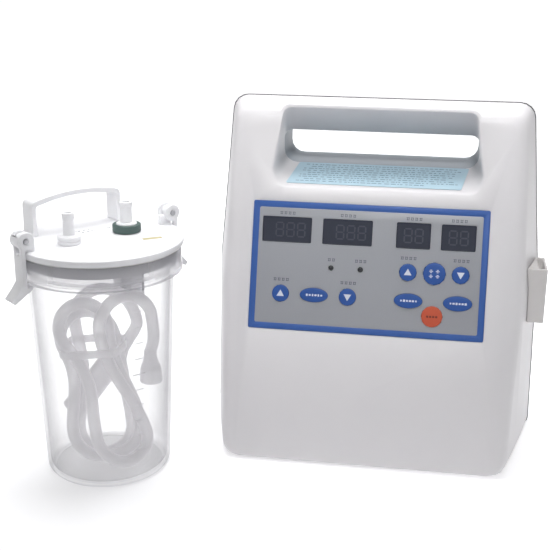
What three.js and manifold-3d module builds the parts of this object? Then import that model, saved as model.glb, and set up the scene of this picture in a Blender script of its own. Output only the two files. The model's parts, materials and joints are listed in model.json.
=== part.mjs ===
// Hospital suction pump: a portable vacuum unit with its collection jar standing beside it.
// Units are millimetres, +Z is up, X runs across the front panel and Y from front to rear.
// The unit's leaning front is the plane y = z * tan(faceLean); its floor line is z = 0.
import * as THREE from 'three';
import { mergeVertices } from 'three/addons/utils/BufferGeometryUtils.js';
import Module from 'manifold-3d';

const wasm = await Module();
wasm.setup();

// ---------------------------------------------------------------- driving dimensions
const gap = 0.3; // air left between pieces that touch
const wall = 3; // moulded housing wall
const faceLean = THREE.MathUtils.degToRad(16.4); // how far the front leans back

// housing
const footHeight = 1.2; // underside of the housing above the floor
const seamY = 115; // where front and rear shells meet
const trimWidth = 1.6; // grey trim strip in the seam
const rearY = 170; // rear face
const seamHalf = { bottom: 151, middle: 147.5, top: 134 }; // half widths at the seam
const faceHalf = { bottom: 127, middle: 134.5, top: 130 }; // half widths of the front outline
const seamMiddleZ = 165;
const faceMiddleZ = 150;
const seamTopZ = 311;
const faceTopZ = 307;
const faceEdgeRadius = 10; // rounding of the front edge
const underShare = 0.25; // how much of that rounding the lower edge has
const sideBulge = 0.2; // 0 for flat sides between front edge and seam, 1 for fully rounded ones
const rearEdgeDepth = 18; // rounding of the rear edge
const rearFall = 8; // how far the top of the rear shell slopes down before that rounding
const trimProud = 0.7; // how far the trim strip stands out of the shells

// handle opening
const lip = { bottomZ: 238, wideZ: 252, topZ: 304, bottomHalf: 88, wideHalf: 92, topHalf: 84 };
const hole = { bottomZ: 249, topZ: 279.5, half: 89 };
const throatY = 120; // funnel of the front shell ends here

// control panel, in the plane of the front; x and y are measured from its centre
const panel = { x: -3.5, slope: 176.85, width: 208, height: 114.4, proud: 0.2 };
const across = (x) => (x * panel.width) / 208; // places on the panel follow its width
const frameWidth = 5.6; // blue border
const recessDepth = 1.5;
const windowHeight = 22.8;
const windowY = 32.2;
const windowSpots = [
  { name: 'display_window_pressure', x: across(-73), width: across(44) },
  { name: 'display_window_setpoint', x: across(-19), width: across(44) },
  { name: 'display_window_run_time', x: across(39), width: across(30) },
  { name: 'display_window_rest_time', x: across(78), width: across(30) },
];
const lampSpots = [
  { name: 'indicator_lamp_low', x: across(-32), y: 0 },
  { name: 'indicator_lamp_fault', x: across(-6), y: 0 },
];
const lampRadius = 2.3;
const keyTravel = 0.8;
const keyProud = 1.3;
const keyClearance = 0.4;
const keyRimWidth = 1.2; // flange that keeps a key behind the wall
const keySpots = [
  { name: 'key_pressure_up', x: across(-76), y: -24.9, width: 15, height: 15, color: 0x3e5991 },
  { name: 'key_unit', x: across(-46), y: -24.9, width: 25, height: 12.6, color: 0x3e5991 },
  { name: 'key_pressure_down', x: across(-16), y: -24.9, width: 15, height: 15, color: 0x3e5991 },
  { name: 'key_time_up', x: across(35.8), y: 0, width: 15, height: 15, color: 0x3e5991 },
  { name: 'key_time_set', x: across(58.8), y: 0, width: 19.4, height: 19.4, color: 0x3e5991 },
  { name: 'key_time_down', x: across(81.5), y: 0, width: 15, height: 15, color: 0x3e5991 },
  { name: 'key_continuous', x: across(37.4), y: -24.9, width: 24.6, height: 12.8, color: 0x3e5991 },
  { name: 'key_interval', x: across(80.3), y: -24.9, width: 25, height: 13, color: 0x3e5991 },
  { name: 'key_start', x: across(58.7), y: -37.6, width: 18.3, height: 18.3, color: 0xa9523f },
].map((key) => ({ ...key, width: across(key.width) }));
const boardDepth = 8; // display board behind the front plane

// jar rail on the right side of the housing
const rail = {
  outerX: seamHalf.middle + 5.5, innerX: seamHalf.middle - 15.5,
  frontY: 66, backY: 104, bottomZ: 124, topZ: 174,
};
const railSlot = { width: 5, depth: 22, wall: 2.4, backWall: 6 };

// rear fittings
const inletSpot = { x: 88, z: 70, width: 48, height: 58 };
const portSpot = { x: -100, z: 150 };

// drive
const motorAxis = { y: 72, z: 45 };
const motor = { startX: 60, length: 62, radius: 24 };
const crankThrow = 3;

// collection jar
const jarPlace = { x: -223.5, y: -21.6 };
const latchTurn = THREE.MathUtils.degToRad(50); // plan direction of the two latches
const bundleTurn = THREE.MathUtils.degToRad(19.3); // plan direction of the stowed tubing
const jarWall = 2.6;
const jarBaseRadius = 54.1;
const jarShoulderRadius = 61.9;
const jarFlangeRadius = 69;
const jarCollarRadius = 68.6;
const jarFlangeZ = 181.5;
const jarTopZ = 202.2;
const lidRadius = 70.8;
const lidTopZ = 208.9;
const lidRimHeight = 5.1;
const sealThick = 1;
const latchPivot = { r: 70.6, z: 219 };
const latchWidth = 14;
const lugWidth = 5.4;
const latchPinRadius = 2.2;
const suctionSpot = { x: -29, y: -1 };
const vacuumSpot = { x: 27.3, y: 0 };
const spigotTopZ = 235;
const lidHandle = { half: 43, y: 42, width: 17, thick: 4, topZ: 237.5, crown: 5.5 };
const cage = { radius: 13.5, wall: 1.8, bottomZ: 148, topZ: 202.5 };
const ballRadius = 10.4;
const tubeDiameter = 10.5;

// ---------------------------------------------------------------- geometry helpers
// A closed geometry as a manifold solid, its faces turned outwards.
function solid(geometry) {
  const bare = geometry.clone();
  bare.deleteAttribute('normal');
  bare.deleteAttribute('uv');
  const merged = mergeVertices(bare, 1e-4);
  const points = Float32Array.from(merged.attributes.position.array);
  const corners = [];
  const source = merged.index.array;
  let volume = 0;
  const a = new THREE.Vector3();
  const b = new THREE.Vector3();
  const c = new THREE.Vector3();
  for (let i = 0; i < source.length; i += 3) {
    const [p, q, r] = [source[i], source[i + 1], source[i + 2]];
    if (p === q || q === r || r === p) continue;
    corners.push(p, q, r);
    a.fromArray(points, p * 3);
    b.fromArray(points, q * 3);
    c.fromArray(points, r * 3);
    volume += a.dot(b.cross(c));
  }
  if (volume < 0) corners.reverse();
  const triVerts = Uint32Array.from(corners);
  return new wasm.Manifold(new wasm.Mesh({ numProp: 3, vertProperties: points, triVerts }));
}

// The manifold solid as a three.js geometry again.
function geometryOf(body) {
  const result = body.getMesh();
  const geometry = new THREE.BufferGeometry();
  geometry.setAttribute('position', new THREE.BufferAttribute(result.vertProperties, 3));
  geometry.setIndex(new THREE.BufferAttribute(result.triVerts, 1));
  geometry.computeVertexNormals();
  return geometry;
}

// A skin stretched over rings of points: every ring has the same number of points.
function loft(rings) {
  const count = rings[0].length;
  const corners = [];
  for (let i = 0; i < count; i += 1) {
    const angle = (i / count) * Math.PI * 2;
    corners.push(new THREE.Vector2(Math.cos(angle), Math.sin(angle)));
  }
  const steps = rings.length - 1;
  const options = { steps, depth: 1, bevelEnabled: false };
  const geometry = new THREE.ExtrudeGeometry(new THREE.Shape(corners), options);
  const spots = geometry.attributes.position;
  for (let i = 0; i < spots.count; i += 1) {
    const turn = Math.atan2(spots.getY(i), spots.getX(i)) / (Math.PI * 2);
    const index = (Math.round(turn * count) + count) % count;
    const { x, y, z } = rings[Math.round(spots.getZ(i) * steps)][index];
    spots.setXYZ(i, x, y, z);
  }
  return geometry;
}

// Points of a polygon whose corners [x, y, radius] are rounded by true arcs.
function roundedPoints(corners, arcSteps = 4) {
  const points = [];
  corners.forEach(([x, y, radius], i) => {
    const corner = new THREE.Vector2(x, y);
    if (!radius) {
      points.push(corner);
      return;
    }
    const [px, py] = corners[(i + corners.length - 1) % corners.length];
    const [nx, ny] = corners[(i + 1) % corners.length];
    const before = new THREE.Vector2(px, py).sub(corner).normalize();
    const after = new THREE.Vector2(nx, ny).sub(corner).normalize();
    const halfAngle = Math.acos(THREE.MathUtils.clamp(before.dot(after), -1, 1)) / 2;
    const reach = radius / Math.sin(halfAngle);
    const centre = before.clone().add(after).setLength(reach).add(corner);
    const start = before.clone().multiplyScalar(radius / Math.tan(halfAngle)).add(corner);
    const end = after.clone().multiplyScalar(radius / Math.tan(halfAngle)).add(corner);
    const from = start.sub(centre).angle();
    let sweep = end.sub(centre).angle() - from;
    if (sweep > Math.PI) sweep -= Math.PI * 2;
    if (sweep < -Math.PI) sweep += Math.PI * 2;
    for (let step = 0; step <= arcSteps; step += 1) {
      const angle = from + (sweep * step) / arcSteps;
      points.push(new THREE.Vector2(Math.cos(angle), Math.sin(angle)).multiplyScalar(radius).add(centre));
    }
  });
  return points;
}

// A plate of an outline [[x, y, radius], ...] from one height to another.
function plate(corners, fromZ, toZ, arcSteps = 4) {
  const shape = new THREE.Shape(roundedPoints(corners, arcSteps));
  const options = { depth: toZ - fromZ, bevelEnabled: false };
  return new THREE.ExtrudeGeometry(shape, options).translate(0, 0, fromZ);
}

function rectangle(x, y, width, height, radius) {
  const right = x + width / 2;
  const top = y + height / 2;
  return [
    [x - width / 2, y - height / 2, radius],
    [right, y - height / 2, radius],
    [right, top, radius],
    [x - width / 2, top, radius],
  ];
}

function block(fromX, toX, fromY, toY, fromZ, toZ) {
  const geometry = new THREE.BoxGeometry(toX - fromX, toY - fromY, toZ - fromZ);
  return geometry.translate((fromX + toX) / 2, (fromY + toY) / 2, (fromZ + toZ) / 2);
}

// A turned piece: profile [radius, height] about Z, starting and ending on the axis or closed.
function turned(profile, segments = 24) {
  const points = profile.map(([r, z]) => new THREE.Vector2(r, z));
  return new THREE.LatheGeometry(points, segments).rotateX(Math.PI / 2);
}

function rod(radius, fromZ, toZ, segments = 12) {
  return turned([[0, fromZ], [radius, fromZ], [radius, toZ], [0, toZ]], segments);
}

// Turned geometry about Z laid along X or Y through a point.
const alongX = (geometry, y, z) => geometry.rotateY(Math.PI / 2).translate(0, y, z);
const alongY = (geometry, x, z) => geometry.rotateX(-Math.PI / 2).translate(x, 0, z);

function join(...pieces) {
  return pieces.map(asSolid).reduce((sum, piece) => sum.add(piece));
}

function cut(body, ...tools) {
  return tools.map(asSolid).reduce((rest, tool) => rest.subtract(tool), asSolid(body));
}

function asSolid(piece) {
  return piece.isBufferGeometry ? solid(piece) : piece;
}

const looks = {
  whitePlastic: { color: 0xe9e9ec, roughness: 0.42 },
  greyPlastic: { color: 0x9aa1a8, roughness: 0.5 },
  railPlastic: { color: 0xcfcbca, roughness: 0.5 },
  blueFrame: { color: 0x3e5c96, roughness: 0.4 },
  greyField: { color: 0x95979d, roughness: 0.45 },
  darkWindow: { color: 0x3e4148, roughness: 0.15 },
  lamp: { color: 0x4a4b50, roughness: 0.3 },
  label: { color: 0xbcd9e5, roughness: 0.5 },
  rubber: { color: 0x2b2b2d, roughness: 0.85 },
  steel: { color: 0xb9bcc0, roughness: 0.3, metalness: 1 },
  motorSteel: { color: 0x8b8f94, roughness: 0.4, metalness: 1 },
  aluminium: { color: 0xc4c7ca, roughness: 0.45, metalness: 1 },
  board: { color: 0x1f5b35, roughness: 0.5 },
  blackPlastic: { color: 0x1d1d20, roughness: 0.4 },
  clearPlastic: { color: 0xe6e8ec, roughness: 0.08 },
  lidPlastic: { color: 0xf5f5f6, roughness: 0.35 },
  silicone: { color: 0xd6d8dc, roughness: 0.4 },
  greenRubber: { color: 0x415654, roughness: 0.6 },
  paleSeal: { color: 0xdedfe2, roughness: 0.7 },
};

const part = new THREE.Group();

function named(name, piece, look, parent = part) {
  const geometry = piece.isBufferGeometry ? piece : geometryOf(piece);
  const mesh = new THREE.Mesh(geometry, new THREE.MeshStandardMaterial(look));
  mesh.name = name;
  parent.add(mesh);
  return mesh;
}

// ---------------------------------------------------------------- housing
// Outline corners in the order bottom right, middle, top, then back down the left side.
function housingOutline(half, bottomZ, middleZ, topZ, radii) {
  const right = [
    [half.bottom, bottomZ, radii.bottom],
    [half.middle, middleZ, 0],
    [half.top, topZ, radii.top],
  ];
  const left = [...right].reverse().map(([x, z, radius]) => [-x, z, radius]);
  return roundedPoints([...right, ...left], 4);
}

const insetHalf = (half, inset) => ({
  bottom: half.bottom - inset,
  middle: half.middle - inset,
  top: half.top - inset,
});

function seamRing(y, inset, bottomInset = inset, topInset = inset) {
  const radii = { bottom: 9, top: 14 };
  const points = housingOutline(
    insetHalf(seamHalf, inset), footHeight + bottomInset, seamMiddleZ, seamTopZ - topInset, radii);
  return points.map((point) => new THREE.Vector3(point.x, y, point.y));
}

function faceRing(depth, inset, edgeInset) {
  const all = inset + edgeInset;
  const points = housingOutline(
    insetHalf(faceHalf, all), footHeight + inset + underShare * edgeInset, faceMiddleZ, faceTopZ - all,
    { bottom: 13, top: 13 });
  const back = depth / Math.cos(faceLean);
  return points.map(({ x, y: z }) => new THREE.Vector3(x, z * Math.tan(faceLean) + back, z));
}

// Front shell from its leaning face back to the seam; the sides bulge a little on the way.
function frontBody(inset, endY) {
  const rings = [];
  const edgeSteps = 3;
  for (let step = 0; step <= edgeSteps; step += 1) {
    const angle = (step / edgeSteps) * (Math.PI / 2);
    const edgeInset = faceEdgeRadius * (1 - Math.sin(angle));
    rings.push(faceRing(inset + faceEdgeRadius * (1 - Math.cos(angle)), inset, edgeInset));
  }
  const first = rings[edgeSteps];
  const last = seamRing(endY, inset);
  const sideSteps = 3;
  for (let step = 1; step <= sideSteps; step += 1) {
    const along = step / sideSteps;
    const bulge = THREE.MathUtils.lerp(along, Math.sin((along * Math.PI) / 2), sideBulge);
    rings.push(first.map((start, i) => new THREE.Vector3(
      THREE.MathUtils.lerp(start.x, last[i].x, bulge),
      THREE.MathUtils.lerp(start.y, last[i].y, along),
      THREE.MathUtils.lerp(start.z, last[i].z, bulge))));
  }
  return loft(rings);
}

// Rear shell: level underside, its other edges rounded back to the rear face.
function rearBody(inset, startY) {
  const rings = [seamRing(startY, inset)];
  const steps = 4;
  const endY = rearY - inset;
  const roundStart = endY - rearEdgeDepth;
  for (let step = 0; step <= steps; step += 1) {
    const angle = (step / steps) * (Math.PI / 2);
    const turnIn = 2 + rearEdgeDepth * (1 - Math.cos(angle));
    const bottomIn = 5 * (1 - Math.cos(angle));
    const topIn = rearFall + 13 * (1 - Math.cos(angle));
    rings.push(seamRing(
      roundStart + rearEdgeDepth * Math.sin(angle), inset + turnIn, inset + bottomIn, inset + topIn));
  }
  return loft(rings);
}

// Handle opening: a funnel from the lip on the leaning face to a level hole through to the rear.
function lipRing(depth, grow) {
  const corners = [
    [lip.bottomHalf + grow, lip.bottomZ - grow, 12],
    [lip.wideHalf + grow, lip.wideZ, 0],
    [lip.topHalf + grow, lip.topZ + grow, 7],
  ];
  const left = [...corners].reverse().map(([x, z, radius]) => [-x, z, radius]);
  const back = depth / Math.cos(faceLean);
  return roundedPoints([...corners, ...left], 4)
    .map(({ x, y: z }) => new THREE.Vector3(x, z * Math.tan(faceLean) + back, z));
}

function holeRing(y, grow) {
  const corners = [
    [hole.half + grow, hole.bottomZ - grow, 12],
    [hole.half + grow, (hole.bottomZ + hole.topZ) / 2, 0],
    [hole.half + grow, hole.topZ + grow, 8],
  ];
  const left = [...corners].reverse().map(([x, z, radius]) => [-x, z, radius]);
  return roundedPoints([...corners, ...left], 4).map(({ x, y: z }) => new THREE.Vector3(x, y, z));
}

const funnelOuter = loft([lipRing(0.8, wall), holeRing(throatY, wall)]);
const funnelCavity = loft([
  lipRing(-1.5, 3), lipRing(0, 2), lipRing(0.6, 0.9), lipRing(2, 0), holeRing(throatY, 0), holeRing(throatY + 2, 0)]);
const tunnelOuter = loft([holeRing(throatY + gap, wall), holeRing(rearY - 1, wall)]);
const tunnelCavity = loft([holeRing(seamY - 5, 0), holeRing(rearY + 1, 0)]);

// The panel group's frame: x across, y up the slope, z out of the face.
const faceTurn = Math.PI / 2 - faceLean;
const slopeUp = new THREE.Vector3(0, Math.sin(faceLean), Math.cos(faceLean));
const panelOrigin = slopeUp.clone().multiplyScalar(panel.slope).setX(panel.x);
const onFace = (geometry) => geometry.rotateX(faceTurn).translate(...panelOrigin);

const keyRadius = ({ width, height }) => Math.min(width, height) / 2 - 0.01;
const keyOutline = (key, grow) =>
  rectangle(key.x, key.y, key.width + 2 * grow, key.height + 2 * grow, keyRadius(key) + grow);
const keyPlate = (key, grow, fromZ, toZ) => plate(keyOutline(key, grow), fromZ, toZ, 3);
const windowPlate = (spot, grow, fromZ, toZ) =>
  plate(rectangle(spot.x, windowY, spot.width + 2 * grow, windowHeight + 2 * grow, 1.5), fromZ, toZ, 2);

const footSpots = [
  { name: 'foot_front_left', x: -100, y: 32 },
  { name: 'foot_front_right', x: 100, y: 32 },
  { name: 'foot_rear_left', x: -100, y: 146 },
  { name: 'foot_rear_right', x: 100, y: 146 },
];
const footStemRadius = 3;
const footHole = ({ x, y }) => rod(footStemRadius + gap, -1, footHeight + wall + 4, 12).translate(x, y, 0);

const screwSpots = [
  { name: 'housing_screw_lower_left', x: -128, z: footHeight + 7.5, tipY: 84 },
  { name: 'housing_screw_lower_right', x: 128, z: footHeight + 7.5, tipY: 84 },
  { name: 'housing_screw_upper_left', x: -109, z: 294, tipY: 99 },
  { name: 'housing_screw_upper_right', x: 109, z: 294, tipY: 99 },
];
const bossRadius = 5.5;
const screwRadius = 1.9;
const screwHead = { radius: 3.6, height: 2.6, sink: 34 };

const boss = ({ x, z }, fromY, toY) => alongY(rod(bossRadius, fromY, toY, 10), x, z);
const bore = ({ x, z }, radius, fromY, toY) => alongY(rod(radius, fromY, toY, 10), x, z);

function frontHousing() {
  const seamEnd = seamY - trimWidth / 2;
  const skin = cut(frontBody(0, seamEnd), frontBody(wall, seamEnd + 1));
  const bosses = screwSpots.map((spot) => boss(spot, spot.tipY - 12, seamEnd));
  const posts = [[-92, -50], [92, -50], [-92, 50], [92, 50]].map(([x, y]) =>
    onFace(rod(3.5, -boardDepth + gap, -wall + 1, 12).translate(x, y, 0)));
  const body = join(skin, funnelOuter, ...posts, ...bosses);
  const inside = solid(frontBody(0, seamEnd)).add(solid(funnelOuter));
  const recess = onFace(plate(
    rectangle(0, 0, panel.width + 2 * gap, panel.height + 2 * gap, 5), -recessDepth, 5));
  const keyHoles = keySpots.map((key) => onFace(keyPlate(key, keyClearance, -wall - 1, 0)));
  const windowHoles = windowSpots.map((spot) => onFace(windowPlate(spot, -1.6, -wall - 1, 0)));
  const lampHoles = lampSpots.map(({ x, y }) =>
    onFace(rod(lampRadius + gap, -wall - 1, 0, 12).translate(x, y, 0)));
  const feet = footSpots.map(footHole);
  const screwBores = screwSpots.map((spot) => bore(spot, screwRadius + gap, spot.tipY - gap, seamY));
  return cut(body.intersect(inside), funnelCavity, recess, ...keyHoles, ...windowHoles, ...lampHoles,
    ...feet, ...screwBores);
}
named('front_housing', frontHousing(), looks.whitePlastic);

const trimFront = seamY - trimWidth / 2 + gap;
const trimBack = seamY + trimWidth / 2 - gap;
const trim = cut(
  loft([seamRing(trimFront, -trimProud), seamRing(trimBack, -trimProud)]),
  loft([seamRing(trimFront - 1, wall), seamRing(trimBack + 1, wall)]));
named('seam_trim', trim, looks.greyPlastic);

function rearHousing() {
  const start = seamY + trimWidth / 2;
  const skin = cut(rearBody(0.2, start), rearBody(wall, start - 1));
  const bosses = screwSpots.map((spot) => boss(spot, start, rearY - 5));
  const shell = join(skin, ...bosses).intersect(solid(rearBody(0.2, start))).add(solid(tunnelOuter));
  const heads = screwSpots.map((spot) =>
    bore(spot, screwHead.radius + gap, rearY - screwHead.sink, rearY + 1));
  const shanks = screwSpots.map((spot) => bore(spot, screwRadius + gap, start - 1, rearY));
  const vents = [];
  for (let row = 0; row < 7; row += 1) {
    for (const side of [-1, 1]) {
      const centre = -20 + side * 24;
      vents.push(block(centre - 20, centre + 20, rearY - 9, rearY + 2, 44 + row * 8, 47.5 + row * 8));
    }
  }
  const inlet = block(
    inletSpot.x - inletSpot.width / 2 + 5, inletSpot.x + inletSpot.width / 2 - 5, rearY - 9, rearY + 2,
    inletSpot.z - inletSpot.height / 2 + 5, inletSpot.z + inletSpot.height / 2 - 5);
  const portHole = bore(portSpot, 6 + 2 * gap, rearY - 9, rearY + 2);
  return cut(shell, tunnelCavity, ...heads, ...shanks, ...vents, inlet, portHole,
    ...footSpots.map(footHole));
}
named('rear_housing', rearHousing(), looks.greyPlastic);

for (const spot of footSpots) {
  const foot = turned([
    [0, 0], [8.6, 0], [9, 0.4], [9, footHeight - gap], [footStemRadius, footHeight - gap],
    [footStemRadius, footHeight + wall + gap], [4.6, footHeight + wall + gap],
    [3.4, footHeight + wall + 2.4], [0, footHeight + wall + 2.4]], 12);
  named(spot.name, solid(foot), looks.rubber).position.set(spot.x, spot.y, 0);
}

for (const { name, x, z, tipY } of screwSpots) {
  const headY = rearY - screwHead.sink + gap;
  const shank = alongY(rod(screwRadius, tipY, headY + 1, 8), x, z);
  const head = alongY(rod(screwHead.radius, headY, headY + screwHead.height, 10), x, z);
  const y = headY + screwHead.height;
  const slotX = block(x - 2.2, x + 2.2, y - 1.3, y + 1, z - 0.5, z + 0.5);
  const slotZ = block(x - 0.5, x + 0.5, y - 1.3, y + 1, z - 2.2, z + 2.2);
  named(name, cut(join(shank, head), slotX, slotZ), looks.steel);
}

// ---------------------------------------------------------------- instruction label on the handle ledge
const ledgeStart = { y: lip.bottomZ * Math.tan(faceLean) + 2, z: lip.bottomZ };
const ledgeSlope = Math.atan2(hole.bottomZ - ledgeStart.z, throatY - ledgeStart.y);
const labelSheet = plate(rectangle(0, 0, 2 * hole.half - 21, 44, 2), 0, 0.4);
const label = named('instruction_label', labelSheet, looks.label);
const labelMiddle = 26; // distance of its centre up the ledge
label.rotation.x = ledgeSlope;
label.position.set(
  0,
  ledgeStart.y + labelMiddle * Math.cos(ledgeSlope) - gap * Math.sin(ledgeSlope),
  ledgeStart.z + labelMiddle * Math.sin(ledgeSlope) + gap * Math.cos(ledgeSlope));

// ---------------------------------------------------------------- control panel
const panelGroup = new THREE.Group();
panelGroup.position.copy(panelOrigin);
panelGroup.rotation.x = faceTurn;
part.add(panelGroup);
const panelBack = -recessDepth + gap;
const panelFront = panel.proud;
const fieldWidth = panel.width - 2 * frameWidth;
const fieldHeight = panel.height - 2 * frameWidth;

const frameRing = cut(
  plate(rectangle(0, 0, panel.width, panel.height, 4.5), panelBack, panelFront, 3),
  plate(rectangle(0, 0, fieldWidth + 2 * gap, fieldHeight + 2 * gap, 1.5), panelBack - 1, panelFront + 1, 2));
named('panel_frame', frameRing, looks.blueFrame, panelGroup);

const field = cut(
  plate(rectangle(0, 0, fieldWidth, fieldHeight, 1.2), panelBack, panelFront, 2),
  ...keySpots.map((key) => keyPlate(key, keyClearance, panelBack - 1, panelFront + 1)),
  ...windowSpots.map((spot) => windowPlate(spot, gap, panelBack - 1, panelFront + 1)),
  ...lampSpots.map(({ x, y }) => rod(lampRadius + gap, panelBack - 1, panelFront + 1, 12).translate(x, y, 0)));
named('panel_plate', field, looks.greyField, panelGroup);

for (const spot of windowSpots) {
  named(spot.name, windowPlate(spot, 0, panelBack, panelFront - 0.1), looks.darkWindow, panelGroup);
}

for (const { name, x, y } of lampSpots) {
  const lamp = turned([
    [0, -wall - 2], [lampRadius, -wall - 2], [lampRadius, panelFront],
    [lampRadius * 0.6, panelFront + 0.7], [0, panelFront + 0.9]], 12);
  named(name, solid(lamp.translate(x, y, 0)), looks.lamp, panelGroup);
}

for (const key of keySpots) {
  const rim = keyPlate(key, keyRimWidth, -wall - gap - 1.2, -wall - gap);
  const stem = keyPlate(key, 0, -wall - gap - 0.6, keyProud - 0.4);
  const crown = keyPlate(key, -0.5, keyProud - 0.8, keyProud);
  named(key.name, join(rim, stem, crown), { color: key.color, roughness: 0.4 }, panelGroup);
}

const displayModules = windowSpots.map(({ x, width }) => block(
  x - width / 2 + 3, x + width / 2 - 3, windowY - 9, windowY + 9, -boardDepth - 0.5, -wall - 0.6));
const switches = keySpots.map(({ x, y }) => rod(3, -boardDepth - 0.5, -wall - gap - 1.2 - keyTravel - 0.5, 6)
  .translate(x, y, 0));
const displayBoard = join(
  block(-100, 100, -54, 54, -boardDepth - 1.6, -boardDepth), ...displayModules, ...switches);
named('display_board', cut(displayBoard), looks.board, panelGroup);

// ---------------------------------------------------------------- jar rail
function jarRail() {
  const body = block(rail.innerX, rail.outerX, rail.frontY, rail.backY, rail.bottomZ, rail.topZ);
  const slotX = rail.outerX - railSlot.wall;
  const slot = block(
    slotX - railSlot.width, slotX, rail.frontY + railSlot.wall, rail.backY - railSlot.backWall,
    rail.topZ - railSlot.depth, rail.topZ + 1);
  return cut(body, slot, frontBody(-gap, seamY - trimWidth / 2));
}
named('jar_rail', jarRail(), looks.railPlastic);

// ---------------------------------------------------------------- vacuum drive inside the unit
const cradleTopZ = footHeight + wall + gap + 3;
const motorEndX = motor.startX + motor.length;

function driveCradle() {
  const base = block(4, 118, 40, 108, footHeight + wall + gap, cradleTopZ);
  const ribs = [motor.startX + 8, motorEndX - 14].map((x) =>
    block(x, x + 5, motorAxis.y - 30, motorAxis.y + 30, cradleTopZ - 0.5, motorAxis.z));
  const seat = alongX(rod(motor.radius + gap, motor.startX - 5, motorEndX + 5, 24), motorAxis.y, motorAxis.z);
  return cut(join(base, ...ribs), seat);
}
named('drive_cradle', driveCradle(), looks.steel);

const crankRadius = 3;
const motorBody = join(
  alongX(rod(motor.radius, motor.startX, motorEndX, 24), motorAxis.y, motorAxis.z),
  alongX(rod(9, motorEndX - 1, motorEndX + 5, 20), motorAxis.y, motorAxis.z));
const shaftBore = alongX(
  rod(crankRadius + gap, motor.startX - 1, motor.startX + 21, 16), motorAxis.y, motorAxis.z);
named('vacuum_motor', cut(motorBody, shaftBore), looks.motorSteel);

const crank = join(
  alongX(rod(crankRadius, 24, motor.startX + 20, 16), motorAxis.y, motorAxis.z),
  alongX(rod(9, 26, 34, 20), motorAxis.y, motorAxis.z + crankThrow));
named('motor_crank', crank, looks.steel);

const caseBox = { fromX: 12, toX: 52, halfY: 23, topZ: 76 };
function crankCase() {
  const body = block(
    caseBox.fromX, caseBox.toX, motorAxis.y - caseBox.halfY, motorAxis.y + caseBox.halfY,
    cradleTopZ + gap, caseBox.topZ);
  const chamber = block(
    caseBox.fromX + 6, caseBox.toX - 8, motorAxis.y - 17, motorAxis.y + 17, 26, caseBox.topZ + 1);
  const shaftHole = alongX(
    rod(crankRadius + gap, caseBox.toX - 10, caseBox.toX + 1, 16), motorAxis.y, motorAxis.z);
  return cut(body, chamber, shaftHole);
}
named('crank_case', crankCase(), looks.aluminium);

const diaphragmZ = caseBox.topZ + gap;
const headX = (caseBox.fromX + caseBox.toX) / 2;
const diaphragm = join(
  rod(19, diaphragmZ, diaphragmZ + 1.6, 24).translate(headX, motorAxis.y, 0),
  rod(11, diaphragmZ - 5, diaphragmZ + 0.5, 20).translate(headX, motorAxis.y, 0));
named('pump_diaphragm', diaphragm, looks.rubber);

const headBaseZ = diaphragmZ + 1.6 + gap;
const headTopZ = headBaseZ + 20;
const barbRadius = 3.4;
function pumpHead() {
  const body = block(
    caseBox.fromX, caseBox.toX, motorAxis.y - caseBox.halfY, motorAxis.y + caseBox.halfY, headBaseZ, headTopZ);
  const barbs = [-10, 10].map((side) => turned([
    [0, headTopZ - 1], [barbRadius - 0.8, headTopZ - 1], [barbRadius - 0.8, headTopZ + 8],
    [barbRadius, headTopZ + 8], [barbRadius - 0.8, headTopZ + 12], [0, headTopZ + 12]], 14)
    .translate(headX + side, motorAxis.y, 0));
  const grooves = [0, 1, 2].map((row) => block(
    caseBox.fromX - 1, caseBox.fromX + 2, motorAxis.y - 20, motorAxis.y + 20,
    headBaseZ + 4 + row * 5, headBaseZ + 6 + row * 5));
  return cut(join(body, ...barbs), ...grooves);
}
named('pump_head', pumpHead(), looks.aluminium);

// ---------------------------------------------------------------- electronics
function capacitors(spots, fromZ) {
  return spots.map(([x, y, radius, height]) => rod(radius, fromZ - 0.5, fromZ + height, 12).translate(x, y, 0));
}

function powerSupply() {
  const boardZ = footHeight + wall + gap + 6;
  const legs = [[-112, 44], [-30, 44], [-112, 102], [-30, 102]].map(([x, y]) =>
    rod(3, footHeight + wall + gap, boardZ + 1, 10).translate(x, y, 0));
  const board = block(-116, -26, 40, 106, boardZ, boardZ + 1.6);
  const transformer = block(-84, -54, 56, 92, boardZ + 1, boardZ + 32);
  const sink = [0, 1, 2, 3].map((fin) => block(-44, -32, 46 + fin * 14, 49 + fin * 14, boardZ + 1, boardZ + 24));
  const web = block(-40, -36, 46, 91, boardZ + 1, boardZ + 18);
  return join(board, ...legs, transformer, ...sink, web,
    ...capacitors([[-100, 60, 8, 26], [-100, 86, 6, 18]], boardZ + 1.6));
}
named('power_supply', powerSupply(), looks.board);

function controlBoard() {
  const backY = rearY - wall - gap;
  const frontY = backY - 8;
  const legs = [[-66, 116], [66, 116], [-66, 212], [66, 212]].map(([x, z]) =>
    alongY(rod(3, frontY - 1, backY, 10), x, z));
  const board = block(-72, 72, frontY - 1.6, frontY, 110, 218);
  const chips = [[-30, 150, 24, 24], [20, 190, 30, 12], [48, 140, 12, 26]].map(([x, z, w, h]) =>
    block(x - w / 2, x + w / 2, frontY - 4.4, frontY - 1, z - h / 2, z + h / 2));
  const sensor = join(
    block(-62, -44, frontY - 9, frontY - 1, 180, 200),
    alongY(rod(2.2, frontY - 17, frontY - 8, 12), -53, 190));
  return join(board, ...legs, ...chips, sensor);
}
named('control_board', controlBoard(), looks.board);

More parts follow.
